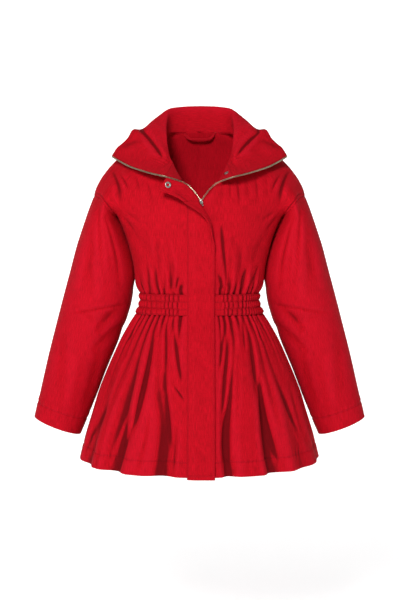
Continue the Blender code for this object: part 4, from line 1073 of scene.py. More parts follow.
# %% Folds of the skirt, seen in the photograph's frame
SKIRT_FOLDS = [
    # start x, y, end x, y, bend, height, width before and after the line
    (143, 315, 93, 436, 3, -5.5, 2.7, 4.8),
    (155, 318, 118, 470, 4, -8.1, 2.0, 5.4),
    (151, 330, 110, 466, 4, 4.2, 3.4, 2.4),
    (165, 318, 164, 392, 1, -4.9, 2.4, 3.1),
    (164, 372, 172, 450, 0, -3.6, 2.7, 2.0),
    (172, 316, 182, 384, -1, -3.9, 2.0, 2.0),
    (172, 384, 187, 404, 0, -2.9, 1.4, 1.6),
    (128, 316, 97, 372, 2, -3.6, 2.0, 2.4),
    (134, 318, 122, 362, 1, -3.2, 1.7, 2.0),
    (150, 400, 138, 474, 2, -3.6, 3.4, 3.4),
    (176, 420, 172, 478, 1, -3.2, 2.7, 2.4),
    (96, 420, 84, 456, 0, -3.2, 2.0, 2.7),
    (232, 316, 222, 480, -3, -6.1, 3.1, 2.7),
    (238, 330, 233, 470, -2, 3.6, 2.7, 2.7),
    (243, 316, 246, 352, 0, -3.9, 1.7, 1.7),
    (249, 318, 277, 458, -4, -8.5, 4.8, 2.2),
    (254, 330, 283, 452, -4, 4.2, 2.4, 3.4),
    (256, 316, 263, 342, 0, -3.6, 1.5, 1.7),
    (259, 316, 304, 442, -4, -5.2, 3.1, 2.7),
    (226, 320, 219, 372, 0, -4.2, 1.7, 2.0),
    (262, 400, 268, 470, 0, -3.2, 3.4, 2.7),
    (290, 380, 312, 452, -2, -3.9, 2.7, 2.7),
]
SKIRT_BACK_FOLDS = [
    (146, 318, 100, 440, 3, -6.4, 2.7, 4.8),
    (160, 316, 128, 462, 3, -7.0, 2.4, 4.8),
    (170, 318, 160, 392, 1, -4.0, 2.4, 2.7),
    (182, 316, 176, 470, -2, -5.5, 3.1, 3.1),
    (190, 318, 193, 372, 0, -3.3, 2.0, 2.0),
    (206, 316, 208, 400, 1, -4.0, 2.4, 2.4),
    (217, 316, 229, 472, -3, -6.8, 3.4, 2.7),
    (228, 318, 238, 380, -1, -3.7, 2.0, 2.4),
    (240, 316, 270, 460, -4, -7.0, 4.4, 2.4),
    (252, 318, 300, 436, -4, -5.2, 3.1, 2.7),
    (134, 330, 140, 350, 0, -2.8, 1.7, 1.7),
]
HEM_LINES = (30.0,)  # the turned hem's row of stitches
SMALL_GATHER = 12.5  # from one small gather to the next
GATHER_DEPTH = 6.0
GATHER_REACH = 0.20  # share of the way down where a small gather is half gone


# %% Skirt panels
def skirt_grid(count, rows, columns):
    share, down = np.meshgrid(np.linspace(0, 1, columns), np.linspace(0, 1, rows) ** 1.12)
    return share * (count + 1), down


def small_gathers(points, down, seed):
    """Shirring from the band that fades down the cloth, each gather at its own reach."""
    run = runs(points[:1])[0]
    reach = GATHER_REACH * (1 + 0.75 * wander(run / 21.0, seed))
    fade = np.exp(-((down / reach) ** 1.5))
    return -GATHER_DEPTH * shirring(run, SMALL_GATHER, seed) * fade


def hem_relief(points, seed):
    """Puckers along the hem's stitches, and the ridge of the cloth turned up inside."""
    u, v = runs(points)
    up = v[-1:] - v
    ridge = 0.5 * (1 - ease((up - HEM_LINES[-1]) / 3.0)) + sewn(up - HEM_LINES[-1], STITCH_DIP, 2.0)
    return ridge + puckers(u, up - HEM_LINES[-1], seed, depth=1.4, pitch=12.0, reach=10.0), up


def away_from_placket(points):
    """One on open cloth and nought beneath the placket, where relief would push through."""
    return ease((np.abs(points[..., 0] - 2) - 26) / 18)


def beside_zip(points, out, side):
    """Sets the edge beside the zip, and turns the right-hand piece to its own side."""
    points[..., 0] += ZIP_GAP * (1 - ease(np.abs(points[..., 0] - CENTRE_X) / 60))
    flatten(out, (slice(None), 0), 0)
    if side > 0:
        return points, out
    points[..., 0] = -(points[..., 0] - 2 * CENTRE_X * ease(1 - (points[..., 0] - CENTRE_X) / 120))
    return points, mirrored(out)


for name, table, side, seed in (("skirt_left", SKIRT_LEFT, -1, 1.0), ("skirt_right", SKIRT_RIGHT, 1, 2.6)):
    share, down = skirt_grid(len(table), 108, 140)
    points, out = skirt(table, 0.0, 1.0, share, down)
    points[0, :, 2] -= HALF_SEAM
    points[:, -1, 1] -= HALF_SEAM
    flatten(out, (slice(None), -1), 1)
    points, out = beside_zip(points, out, side)
    u, v = runs(points)
    ridge, up = hem_relief(points, seed)
    to_side_seam = u[:, -1:] - u
    relief = (small_gathers(points, down, seed) + folds(points, SKIRT_FOLDS) * ease(v / 10)) * away_from_placket(points)
    relief = relief * ease(to_side_seam / 5) + ridge * away_from_placket(points) + sewn(v) + sewn(to_side_seam)
    relief += puckers(v, to_side_seam, seed + 1, depth=0.5)
    points += out * relief[..., None]
    cloth("cloth_" + name, points, out, row_lines=to_lines(up, HEM_LINES), column_lines=to_lines(u, [3.0]))


# %% [markdown]
# ## Whole backs
#
# The back pieces are one half and its mirror image on one grid. Where the halves meet at
# centre back their two middle columns are welded.

# %% Two halves on one grid
def whole(half, out, joined=None):
    """Half runs towards centre back. Joined is how many rows meet there, counted from row 0."""
    rows, columns = half.shape[:2]
    joined = rows if joined is None else joined
    half[:joined, -1, 0] = 0
    flatten(out, (slice(joined), -1), 0)
    points = np.concatenate([half, mirrored(half)[:, ::-1]], axis=1)
    ways = np.concatenate([out, mirrored(out)[:, ::-1]], axis=1)
    kept = np.ones((rows - 1, 2 * columns - 1), bool)
    kept[:, columns - 1] = False
    weld = np.arange(rows * 2 * columns).reshape(rows, -1)
    weld[:joined, columns] = weld[:joined, columns - 1]
    return points, ways, kept, weld.ravel()


share, down = skirt_grid(len(SKIRT_BACK), 108, 122)
half, out = skirt(SKIRT_BACK, 1.0, 2.0, share, down)
half[0, :, 2] -= HALF_SEAM
half[:, 0, 1] += HALF_SEAM
flatten(out, (slice(None), 0), 1)
points, out, kept, weld = whole(half, out)
down = np.concatenate([down, down[:, ::-1]], axis=1)
u, v = runs(points)
ridge, up = hem_relief(points, 5.0)
to_side_seam = np.minimum(u, u[:, -1:] - u)
relief = (
    small_gathers(points, down, 4.2) + folds(points, SKIRT_BACK_FOLDS, BEHIND) * ease(v / 10)
) * ease(to_side_seam / 5)
relief += ridge + sewn(v) + sewn(to_side_seam) + puckers(v, to_side_seam, 5.5, depth=0.5)
points += out * relief[..., None]
cloth("cloth_skirt_back", points, out, row_lines=to_lines(up, HEM_LINES), kept=kept, weld=weld)

# %% [markdown]
# ## Waist band
#
# Three elastics run in three tunnels. Each tunnel puffs out between its stitch rows, and
# the elastic draws the cloth into fine upright ripples. Beside the zip the band is plain.

# %% Band
BAND_RIPPLE = 9.5  # from one ripple to the next
RIPPLE_DEEP = 4.2


def band_relief(points, turn, down, seed):
    """Ripples, deepest in each tunnel's middle, that shift a little from tunnel to tunnel."""
    run = runs(points)[0]
    gathered = ease((np.where(turn > 1, 1, turn) - PLAIN_TURN) / 0.06)
    tunnel = np.floor(down * BAND_ROWS - 1e-9)
    lean = run + 1.6 * np.sin(run / 23 + tunnel * 2.1)
    deep = 0.55 + 0.45 * np.abs(np.sin(np.pi * BAND_ROWS * down))
    ripple = RIPPLE_DEEP * (0.5 - shirring(lean, BAND_RIPPLE, seed)) * deep
    return ripple * gathered


def band_lines(v):
    """The rows of stitches between the tunnels and along both seams."""
    height = v[-1:]
    return [2.0, *(height.mean() * k / BAND_ROWS for k in range(1, BAND_ROWS)), height.mean() - 2.0]


BAND_DOWN = np.linspace(0, 1, 43)
for name, side, seed in (("band_left", -1, 0.4), ("band_right", 1, 1.9)):
    turn, down = np.meshgrid(np.linspace(0, 1, 200), BAND_DOWN)
    points, out = band(turn, down, 0.0 * turn)
    points[0, :, 2] -= HALF_SEAM
    points[-1, :, 2] += HALF_SEAM
    points[:, -1, 1] -= HALF_SEAM
    flatten(out, (slice(None), -1), 1)
    points, out = beside_zip(points, out, side)
    u, v = runs(points)
    to_side_seam = u[:, -1:] - u
    relief = band_relief(points, turn, down, seed) * ease(to_side_seam / 5)
    relief += (sewn(v) + sewn(v[-1:] - v)) * away_from_placket(points) + sewn(to_side_seam)
    points += out * relief[..., None]
    cloth("cloth_" + name, points, out, row_lines=to_lines(v, band_lines(v)))

turn, down = np.meshgrid(np.linspace(1, 2, 190), BAND_DOWN)
half, out = band(turn, down, 0.0 * turn)
half[0, :, 2] -= HALF_SEAM
half[-1, :, 2] += HALF_SEAM
half[:, 0, 1] += HALF_SEAM
flatten(out, (slice(None), 0), 1)
points, out, kept, weld = whole(half, out)
turn, down = (np.concatenate([x, x[:, ::-1]], axis=1) for x in (turn, down))
u, v = runs(points)
to_side_seam = np.minimum(u, u[:, -1:] - u)
relief = band_relief(points, turn, down, 3.3) * ease(to_side_seam / 5) + sewn(v) + sewn(v[-1:] - v) + sewn(to_side_seam)
points += out * relief[..., None]
cloth("cloth_band_back", points, out, row_lines=to_lines(v, band_lines(v)), kept=kept, weld=weld)

# %% [markdown]
# ## Fronts and back
#
# The bodice blouses over the waist: short gathers fan up from the band and open into
# petal-shaped hollows. The armhole pulls small creases across the chest.

# %% Folds of the bodice
FRONT_FOLDS = [
    # start x, y, end x, y, bend, height, width before and after the line
    (150, 296, 146, 262, 0, -3.9, 2.3, 2.3),
    (158, 296, 157, 238, 1, -5.4, 3.9, 3.1),
    (164, 296, 165, 270, 0, -3.4, 1.7, 1.7),
    (169, 296, 172, 258, -1, -4.9, 2.3, 3.5),
    (174, 296, 178, 276, 0, -3.7, 1.7, 1.7),
    (176, 296, 188, 279, 0, -2.7, 2.0, 2.0),
    (157, 262, 150, 230, 0, 2.7, 3.9, 3.9),
    (177, 268, 170, 236, 0, 2.4, 3.1, 3.9),
    (144, 294, 138, 270, 0, -2.7, 2.3, 2.3),
    (222, 296, 214, 279, 0, -3.0, 2.0, 2.0),
    (226, 296, 215, 268, 0, -3.9, 2.3, 2.3),
    (231, 296, 221, 224, 1, -4.6, 2.3, 2.3),
    (240, 296, 240, 243, -2, -5.4, 3.9, 3.9),
    (241, 296, 247, 268, 0, -3.7, 2.0, 2.0),
    (248, 296, 260, 263, 0, -3.4, 2.0, 2.0),
    (253, 296, 256, 276, 0, -2.7, 1.7, 1.7),
    (233, 262, 229, 232, 0, 2.4, 3.1, 3.1),
    (112, 170, 119, 208, 3, -4.6, 3.1, 3.9),
    (118, 172, 128, 190, 1, -2.7, 2.0, 2.7),
    (121, 214, 134, 232, 0, -3.0, 2.3, 2.3),
    (124, 212, 140, 222, 0, -2.7, 2.0, 2.3),
    (128, 228, 150, 262, 2, -3.0, 3.9, 3.9),
    (289, 170, 281, 208, -3, -4.6, 3.9, 3.1),
    (282, 172, 272, 192, -1, -3.0, 2.7, 2.0),
    (279, 214, 266, 232, 0, -3.0, 2.3, 2.3),
    (276, 212, 262, 220, 0, -2.7, 2.3, 2.0),
    (272, 228, 252, 266, -2, -3.4, 3.9, 3.9),
    (229, 176, 231, 200, 0, -1.5, 2.0, 2.0),
    (237, 176, 240, 206, 0, -1.9, 2.0, 2.2),
    (246, 176, 249, 200, 0, -1.4, 2.0, 2.0),
    (255, 174, 259, 202, 0, -1.7, 2.3, 2.3),
    (266, 172, 268, 196, 0, -1.2, 2.0, 2.0),
    (146, 178, 152, 206, 1, -1.5, 2.3, 2.3),
    (134, 172, 140, 196, 1, -1.4, 2.3, 2.3),
]
BACK_FOLDS = [
    (150, 296, 148, 250, 1, -4.3, 3.2, 3.2),
    (158, 296, 160, 262, 0, -3.3, 2.4, 2.4),
    (168, 296, 164, 236, 1, -4.6, 3.6, 3.2),
    (179, 296, 182, 260, 0, -3.5, 2.4, 2.8),
    (191, 296, 189, 244, 1, -4.1, 3.2, 3.2),
    (203, 296, 205, 266, 0, -3.3, 2.4, 2.4),
    (213, 296, 217, 240, -1, -4.3, 3.2, 3.6),
    (224, 296, 222, 262, 0, -3.3, 2.4, 2.4),
    (235, 296, 240, 246, -1, -4.3, 3.2, 3.2),
    (246, 296, 248, 268, 0, -3.0, 2.4, 2.4),
    (116, 182, 126, 216, 3, -4.1, 3.2, 4.0),
    (122, 212, 142, 226, 0, -2.7, 2.4, 2.4),
    (284, 182, 274, 216, -3, -4.1, 4.0, 3.2),
    (278, 212, 258, 226, 0, -2.7, 2.4, 2.4),
    (150, 170, 172, 214, 3, -2.2, 5.6, 5.6),
    (250, 170, 230, 218, -3, -2.2, 5.6, 5.6),
]
FELLED = (1.8, 8.0)  # the two rows of a flat seam's stitches
SHORT_GATHER = 13.0
SHORT_DEEP = 5.0


# %% Panels
BODY_UP = np.concatenate([np.linspace(0, 0.5, 56)[:-1], np.linspace(0.5, 1, 66)])
ARM_ROW = 55  # from this row up a panel's outer edge is the armhole
EVEN_ROWS, EVEN_COLUMNS = 26, 12  # how far from the underarm the rows are evened, and from a seam not


def smoothed(grid, passes=260):
    """Evens out the rows near the underarm: each point moves to the mean of its two neighbours."""
    rows, columns = (np.arange(n) for n in grid.shape[:2])
    near = (
        np.exp(-(((rows - ARM_ROW) / EVEN_ROWS) ** 2))[:, None]
        * ease((columns - 1) / EVEN_COLUMNS)
        * ease((columns[-1] - 1 - columns) / EVEN_COLUMNS)
    )
    grid = grid.copy()
    for _ in range(passes):
        mean = (grid[:-2] + grid[2:]) / 2 - grid[1:-1]
        grid[1:-1] += 0.5 * near[1:-1, :, None] * mean
    return grid


def body_panel(edge, depth_column, sign, table, share, up):
    """The frame's panel on a finer grid, with the direction its wall thickens."""
    turn = gather_turns(table, 0.0, 1.0, share, up)
    turn = turn.clip(0, 1) ** (1 + 0.25 * ease((up - 0.5) / 0.2))
    points = panel(edge, depth_column, sign, turn, up)
    out = normals(points, quads(*points.shape[:2]))
    out = out if (out[..., 1] * sign).sum() > 0 else -out
    points = smoothed(points - out * gather_depths(table, share, up)[..., None])
    out = smoothed(out)
    out /= np.linalg.norm(out, axis=-1, keepdims=True)
    flatten(out, (0, slice(None)), 2)
    flatten(out, (slice(ARM_ROW), -1), 1)
    flatten(out, (-1, slice(None)), 1)
    round_arm = 1 - BODY_UP[ARM_ROW:] if sign < 0 else BODY_UP[ARM_ROW:]
    out[ARM_ROW:, -1] = armhole_frame(round_arm)[0]
    points[ARM_ROW:, -1] = armhole(round_arm) - HALF_SEAM * 1.2 * body_to_sleeve(round_arm)
    points[0, :, 2] = BAND_TOP + HALF_SEAM
    points[-1, :, 1] += sign * HALF_SEAM
    points[: ARM_ROW + 1, -1, 1] += sign * HALF_SEAM
    return points, out


def blouse(points, up, table, side, seed):
    """Short gathers above the band, the folds, and the dips of the seams round the panel."""
    u, v = runs(points)
    low = 1.0 * np.exp(-((up / (0.07 * (1 + 0.6 * wander(u[:1] / 30, seed)))) ** 1.5))
    gathers = -SHORT_DEEP * shirring(u[:1], SHORT_GATHER, seed) * low
    return u, v, (gathers + folds(points, table, side) * ease(v / 6)) * ease((v[-1:] - v) / 8)


for name, table, side, seed in (("front_left", FRONT_LEFT, -1, 0.9), ("front_right", FRONT_RIGHT, 1, 2.2)):
    share, up = np.meshgrid(np.linspace(0, len(table) + 1, 116), BODY_UP)
    points, out = body_panel(FRONT_EDGE, 1, -1, table, share, up)
    points, out = beside_zip(points, out, side)
    u, v, relief = blouse(points, up, FRONT_FOLDS, FRONT, seed)
    outer = u[:, -1:] - u
    top = v[-1:] - v
    open_cloth = np.where(up < 0.52, away_from_placket(points), ease((u - 4) / 9))
    relief = relief * open_cloth * ease(outer / 6) + sewn(v) * open_cloth + sewn(outer) + sewn(top)
    relief += (puckers(v, outer, seed + 1, depth=1.0) + sewn(outer - FELLED[1], STITCH_DIP, 2.0)) * ease(top / 12)
    relief += sewn(top - FELLED[1], STITCH_DIP, 2.0) * ease(outer / 8) * ease((u - 4) / 9)
    points += out * relief[..., None]
    cloth(
        "cloth_" + name,
        points,
        out,
        row_lines=to_lines(top, FELLED),
        column_lines=to_lines(outer, FELLED),
        grain=upright(points),
    )

share, up = np.meshgrid(np.linspace(0, len(BACK_GATHERS) + 1, 112), BODY_UP)
half, out = body_panel(BACK_EDGE, 2, 1, BACK_GATHERS, share, up)
joined = int((BODY_UP <= 0.82).sum())
points, out, kept, weld = whole(half[:, ::-1].copy(), out[:, ::-1].copy(), joined)
up = np.concatenate([up, up], axis=1)
u, v, relief = blouse(points, up, BACK_FOLDS, BEHIND, 6.1)
outer = np.minimum(u, u[:, -1:] - u)
top = v[-1:] - v
relief = relief * ease(outer / 6) + sewn(v) + sewn(outer) + sewn(top)
relief += (puckers(v, outer, 7.1, depth=1.0) + sewn(outer - FELLED[1], STITCH_DIP, 2.0)) * ease(top / 12)
neck = up > 0.80
relief = np.where(neck & (np.abs(points[..., 0]) < 80), relief * ease((np.abs(points[..., 0]) - 60) / 20), relief)
points += out * relief[..., None]
round_back, height = upright(points * [-1, -1, 1])
cloth("cloth_back", points, out, column_lines=to_lines(outer, FELLED), kept=kept, weld=weld, grain=(round_back, height))

# %% [markdown]
# ## Sleeves
#
# A wide straight sleeve hangs from a dropped shoulder. Soft troughs run down from the
# armhole, cloth stacks in a shadowed fold at the elbow, and the hem is turned up.

# %% Sleeve
SLEEVE_CREASES = [
    # start x, y, end x, y, bend, height, width before and after the line
    (99, 198, 89, 236, 2, -2.2, 4.4, 3.9),
    (93, 226, 87, 278, 1, -2.5, 4.9, 4.4),
    (104, 212, 108, 250, -2, -2.7, 3.9, 4.9),
    (107, 240, 115, 286, 0, -2.2, 4.4, 5.5),
    (82, 240, 76, 292, 1, 2.2, 5.1, 5.1),
    (100, 246, 98, 300, 0, 2.6, 5.1, 5.1),
    (124, 306, 96, 334, -3, -5.0, 4.2, 6.0),
    (128, 322, 92, 352, -2, -3.6, 3.4, 5.1),
    (70, 306, 100, 326, 2, -2.6, 4.2, 5.1),
    (63, 330, 58, 388, 1, -2.2, 5.1, 5.1),
    (100, 350, 84, 408, 1, -2.9, 5.1, 4.2),
    (76, 356, 66, 410, 0, 1.9, 5.1, 5.1),
    (301, 198, 311, 236, -2, -2.2, 3.9, 4.4),
    (307, 226, 313, 278, -1, -2.5, 4.4, 4.9),
    (296, 212, 292, 250, 2, -2.7, 4.9, 3.9),
    (293, 240, 285, 286, 0, -2.1, 5.5, 4.4),
    (317, 240, 323, 292, -1, 2.2, 5.1, 5.1),
    (300, 246, 302, 300, 0, 2.4, 5.1, 5.1),
    (276, 306, 304, 332, 3, -5.2, 6.0, 4.2),
    (272, 322, 308, 354, 2, -3.6, 5.1, 3.4),
    (330, 310, 301, 328, -2, -2.4, 5.1, 4.2),
    (338, 334, 342, 390, -1, -2.2, 5.1, 5.1),
    (300, 352, 316, 408, -1, -2.9, 4.2, 5.1),
    (325, 356, 334, 410, 0, 1.9, 5.1, 5.1),
]
SLEEVE_BEHIND = [
    (100, 200, 92, 262, 2, -5.4, 4.0, 4.0),
    (110, 214, 112, 280, -1, -5.1, 4.0, 5.0),
    (126, 304, 88, 330, -3, -7.4, 6.0, 7.0),
    (124, 326, 84, 350, -3, -5.8, 5.0, 7.0),
    (74, 280, 108, 306, 2, -4.2, 6.0, 5.0),
    (70, 330, 60, 392, 1, -2.9, 6.0, 6.0),
    (300, 200, 308, 262, -2, -5.4, 4.0, 4.0),
    (290, 214, 288, 280, 1, -5.1, 5.0, 4.0),
    (274, 304, 312, 330, 3, -7.4, 7.0, 6.0),
    (276, 326, 316, 350, 3, -5.8, 7.0, 5.0),
    (326, 280, 292, 306, -2, -4.2, 5.0, 6.0),
    (330, 330, 340, 392, -1, -2.9, 6.0, 6.0),
]
SIDE_TOUCH = 3.2  # under the arm the sleeve swells until it all but touches the body
TOUCH_TOP, TOUCH_MOST, TOUCH_END = -150, -174, -310  # heights where the swelling starts, peaks and ends
CUFF_LINE = 33.0  # from the sleeve's end to the row of stitches
SLEEVE_SHARE, SLEEVE_DOWN = np.meshgrid(np.linspace(0, 1, 141), np.linspace(0, 1, 142))


def pressed_troughs(across, down):
    """The frame's own sleeve troughs: each lies between two places, exp(-(d / width)^2) deep."""
    total = np.zeros(across.shape)
    for start_u, start_v, end_u, end_v, depth, width in SLEEVE_FOLDS:
        run = ((down - start_v) / (end_v - start_v)).clip(0, 1)
        span = ROUND_SLEEVE * np.abs(across - start_u - (end_u - start_u) * run)
        total += depth * np.exp(-((span / width) ** 2)) * np.sin(np.pi * run).clip(0) ** 0.7
    return total


def sleeve_piece(name, side, seed):
    share, down = SLEEVE_SHARE, SLEEVE_DOWN
    points = sleeve(share, down)
    out = normals(points, quads(*points.shape[:2]))
    out[:, 0] = out[:, -1] = out[:, 0] + out[:, -1]
    out /= np.linalg.norm(out, axis=-1, keepdims=True)
    middle = points.mean(axis=1, keepdims=True)
    out = out if ((points - middle) * out).sum() > 0 else -out
    hem = ease((down - CUFF_START + 0.006) / 0.006)
    points += out * (CUFF_STEP * hem - pressed_troughs(share, down))[..., None]
    out[0] = armhole_frame(share[0])[0]
    points[0] = armhole(share[0]) + HALF_SEAM * 1.2 * body_to_sleeve(share[0])
    if side < 0:
        points, out = mirrored(points), mirrored(out)
    u, v = runs(points)
    v = v[:, :1] * np.ones_like(v)
    up = v[-1:] - v
    in_front = ease((0.35 - out[..., 1]) / 0.7)
    relief = folds(points, SLEEVE_CREASES) * in_front + folds(points, SLEEVE_BEHIND, BEHIND) * (1 - in_front)
    relief *= ease(v / 14) * ease((up - 10) / 30)
    relief += sewn(v, 0.8) + puckers(u, v, seed, depth=0.8, pitch=13.0, reach=14.0)
    relief += (
        puckers(u, up - CUFF_LINE, seed + 2, depth=1.2, pitch=14.0, reach=9.0) + sewn(up - CUFF_LINE, STITCH_DIP, 2.0)
    )
    height = points[..., 2]
    against = np.exp(-(((share - 0.5) / 0.07) ** 2)) * ease((TOUCH_TOP - height) / 12)
    against *= ease((height - TOUCH_END) / 30)
    relief += SIDE_TOUCH * (1 + 1.2 * np.exp(-(((height - TOUCH_MOST) / 14) ** 2))) * against
    relief[:, -1] = relief[:, 0]
    points += out * relief[..., None]
    rows, columns = points.shape[:2]
    weld = np.arange(rows * columns).reshape(rows, columns)
    weld[:, -1] = weld[:, 0]
    thick = CLOTH + CUFF_STEP * hem
    cloth("cloth_" + name, points, out, thick, row_lines=to_lines(up, [CUFF_LINE]), weld=weld.ravel())


sleeve_piece("sleeve_left", -1, 0.7)
sleeve_piece("sleeve_right", 1, 3.9)

# %% [markdown]
# ## Lapels
#
# The tops of the fronts are turned out, so their facing shows. They meet the zip's
# teeth below and the collar above.

# %% Lapel
WING_FOLDS = [
    # on lapels, collar and placket
    (139, 128, 165, 161, 2, -6.0, 2.0, 2.6),
    (261, 131, 234, 158, -2, -6.0, 2.6, 2.0),
    (154, 124, 160, 152, 1, -1.6, 2.2, 2.2),
    (246, 124, 240, 152, -1, -1.6, 2.2, 2.2),
    (151, 140, 124, 152, 2, 1.6, 5.0, 5.0),
    (160, 154, 136, 163, 1, -1.0, 3.0, 3.5),
    (138, 140, 122, 147, 0, -0.9, 2.5, 3.0),
    (166, 160, 152, 172, 0, 0.8, 3.0, 3.0),
    (250, 140, 276, 152, -2, 1.6, 5.0, 5.0),
    (241, 154, 262, 164, -1, -1.0, 3.5, 3.0),
    (262, 140, 279, 148, 0, -0.9, 3.0, 2.5),
    (234, 160, 248, 173, 0, 0.8, 3.0, 3.0),
    (216, 168, 222, 186, 0, -0.8, 2.5, 2.5),
    (204, 186, 214, 196, 0, -0.6, 2.5, 2.5),
]
EDGE_LINE = 2.2  # one row of stitches inside a turned edge


def lapel_grid(rows, columns):
    """From the roll to the zip: a ruled surface, as the frame's, on a finer grid."""
    low, high, seam_out, to_collar = seam_frame()
    up, across = np.meshgrid(np.linspace(LAPEL_UP[0], LAPEL_UP[-1], rows), np.linspace(0, 1, columns), indexing="ij")
    share = 0.36 + (SEAM_ON_ZIP - 0.36) * (up - LAPEL_UP[0]) / (LAPEL_UP[-1] - LAPEL_UP[0])
    inner = roll_line(up)
    points = inner + (zip_edge(share) + TAPE_EDGE - inner) * across[..., None]
    points[-1] = high + (low - high) * across[-1][:, None]
    out = normals(points, quads(*points.shape[:2]))
    out = out if out[..., 1].sum() < 0 else -out
    flatten(out, (slice(None), -1), 2)
    out[-1] = seam_out
    points[-1] -= to_collar * HALF_SEAM
    return points, out


for name, side in (("lapel_left", -1), ("lapel_right", 1)):
    points, out = lapel_grid(26, 40)
    points = to_side(points, side)
    out = out if side > 0 else mirrored(out)
    u, v = runs(points)
    to_zip, to_seam = u[:, -1:] - u, v[-1:] - v
    relief = folds(points, WING_FOLDS) * ease(to_zip / 6) * ease(to_seam / 6) + sewn(to_seam, 0.8) + sewn(to_zip, 0.6)
    points += out * relief[..., None]
    cloth(
        "cloth_" + name,
        points,
        out,
        DOUBLE,
        row_lines=to_lines(to_seam, [3.0]),
        column_lines=to_lines(to_zip, [EDGE_LINE]),
    )

# %% [markdown]
# ## Collar
#
# A tall band stands round the neck, rolls over, and opens out in front into wings. Its
# sections change from the wing's long flat spread to the tight roll behind the neck.

# %% Collar
COLLAR_THIN = ((0, 0.18, 0.36, 0.44, 0.52, 0.60, 1), (1, 0.7, 0.5, 0.6, 0.9, 1, 1))  # thickness over the roll


def neck_line(shares):
    """The seam under the collar: along the lapel, the front's neck and then the back's."""
    low, high, _, to_collar = seam_frame()
    part = (shares / FRONT_NECK)[:, None]
    on_lapel = low + (high - low) * part + to_collar * HALF_SEAM
    front_up = 0.75 + 0.25 * (shares - FRONT_NECK) / (SHOULDER - FRONT_NECK)
    back_up = 1 - 0.18 * (shares - SHOULDER) / (1 - SHOULDER)
    lift = np.array([0, 0, COLLAR_LIFT])
    behind = np.where(
        (shares < SHOULDER)[:, None], through(FRONT_EDGE, front_up) + lift, through(BACK_EDGE, back_up) + lift
    )
    return np.where(part <= 1, on_lapel, behind)


def collar_ripples(points, shares, across):
    """The fall between roll and valley is rough: its lining shows, drawn up in small tucks."""
    run = np.cumsum(np.pad(np.linalg.norm(np.diff(points[:, 30], axis=0), axis=-1), (1, 0)))[:, None]
    inside = ease((across - 0.30) / 0.1) * (1 - ease((across - 0.62) / 0.1))
    return -1.8 * shirring(run + 0 * across, 7.5, 2.0) * inside * ease((shares[:, None] - 0.10) / 0.1)


shares = np.concatenate([np.linspace(0, FRONT_NECK, 41)[:-1], np.linspace(FRONT_NECK, 1, 120)])
across = np.linspace(0, 1, 60)
half = collar_surface(shares, neck_line(shares), across)
half[-1, :, 0] = 0
out = normals(half, quads(*half.shape[:2]))
out = out if out[-1, -1, 1] > 0 else -out
out[:41, 0] = seam_frame()[2]
flatten(out, (slice(41, None), 0), 2)
flatten(out, (0, slice(1, None)), 2)
flatten(out, (-1, slice(None)), 0)
ripples = collar_ripples(half, shares, across[None])
points = np.concatenate([to_side(half, -1), half[-2::-1]])
out = np.concatenate([mirrored(out), out[-2::-1]])
ripples = np.concatenate([ripples, ripples[-2::-1]])
u, v = runs(points)
from_free = u[:, -1:] - u
from_zip = np.minimum(v, v[-1:] - v)
open_wing = ease((across[None] - 0.5) / 0.2) * ease(from_zip / 8)
relief = folds(points, WING_FOLDS) * open_wing * (points[..., 1] < 20) + ripples
relief += sewn(from_zip, 0.5) + puckers(v, from_free - EDGE_LINE, 3.0, depth=0.5)
points += out * relief[..., None]
thin = DOUBLE * np.interp(across, *COLLAR_THIN)
cloth(
    "cloth_collar",
    points,
    out,
    thin[None],
    row_lines=to_lines(from_zip, [EDGE_LINE]),
    column_lines=to_lines(from_free, [EDGE_LINE, 9.0]),
)

# %% [markdown]
# ## Placket
#
# The storm placket covers the closed zip. Above the chest its free corner is turned back
# over itself, so that its inside shows, and it follows the opened zip to a point.

# %% Placket
PLACKET_FOLDS = [
    (208, 300, 190, 330, 0, -2.6, 3.0, 4.0),
    (190, 345, 211, 372, 0, -3.2, 5.0, 5.0),
    (212, 392, 189, 420, 0, -2.8, 5.0, 5.0),
    (190, 440, 210, 466, 0, -3.2, 5.0, 5.0),
    (189, 258, 210, 276, 0, -2.6, 4.0, 4.0),
    (172, 190, 196, 206, -1, 1.6, 3.5, 3.5),
    (168, 181, 184, 196, 0, -1.2, 2.5, 2.5),
]
PLACKET_HEIGHTS = np.concatenate(
    [np.linspace(HEM - HEM_DROP[0][1] - PLACKET_BELOW, -236, 155), np.linspace(-234.5, -130, 76)]
)
FLAT_COLUMNS, BEND_COLUMNS, FREE_COLUMNS = 30, 13, 26


def placket_surface(heights):
    """Across each row: flat to the bend, an arc round it, then straight to the free edge."""
    height = heights[:, None]
    bend_x, degrees = np.moveaxis(through(TURN_BACK, height), -1, 0)
    flat = bend_x - PLACKET_SEAM_X
    free = flat + FOLD_LENGTH
    parts = [
        flat * np.linspace(0, 1, FLAT_COLUMNS)[:-1],
        flat + FOLD_LENGTH * np.linspace(0, 1, BEND_COLUMNS)[:-1],
        free + (PLACKET_WIDE - free) * np.linspace(0, 1, FREE_COLUMNS),
    ]
    span = np.concatenate(parts, axis=1)
    turned = np.radians(np.maximum(degrees, 0.01))
    radius = FOLD_LENGTH / turned
    in_bend = np.clip((span - flat) / FOLD_LENGTH, 0, 1)
    past = np.clip(span - free, 0, None)
    x = np.minimum(span, flat) + radius * np.sin(turned * in_bend) + past * np.cos(turned) + PLACKET_SEAM_X
    rise = radius * (1 - np.cos(turned * in_bend)) + past * np.sin(turned)
    gap = PLACKET_GAP + PLACKET_BULGE * ease((span - 2) / 14)
    return stack(x, front_y(np.clip(x, -26, 32), height) - gap - DOUBLE - rise, height)


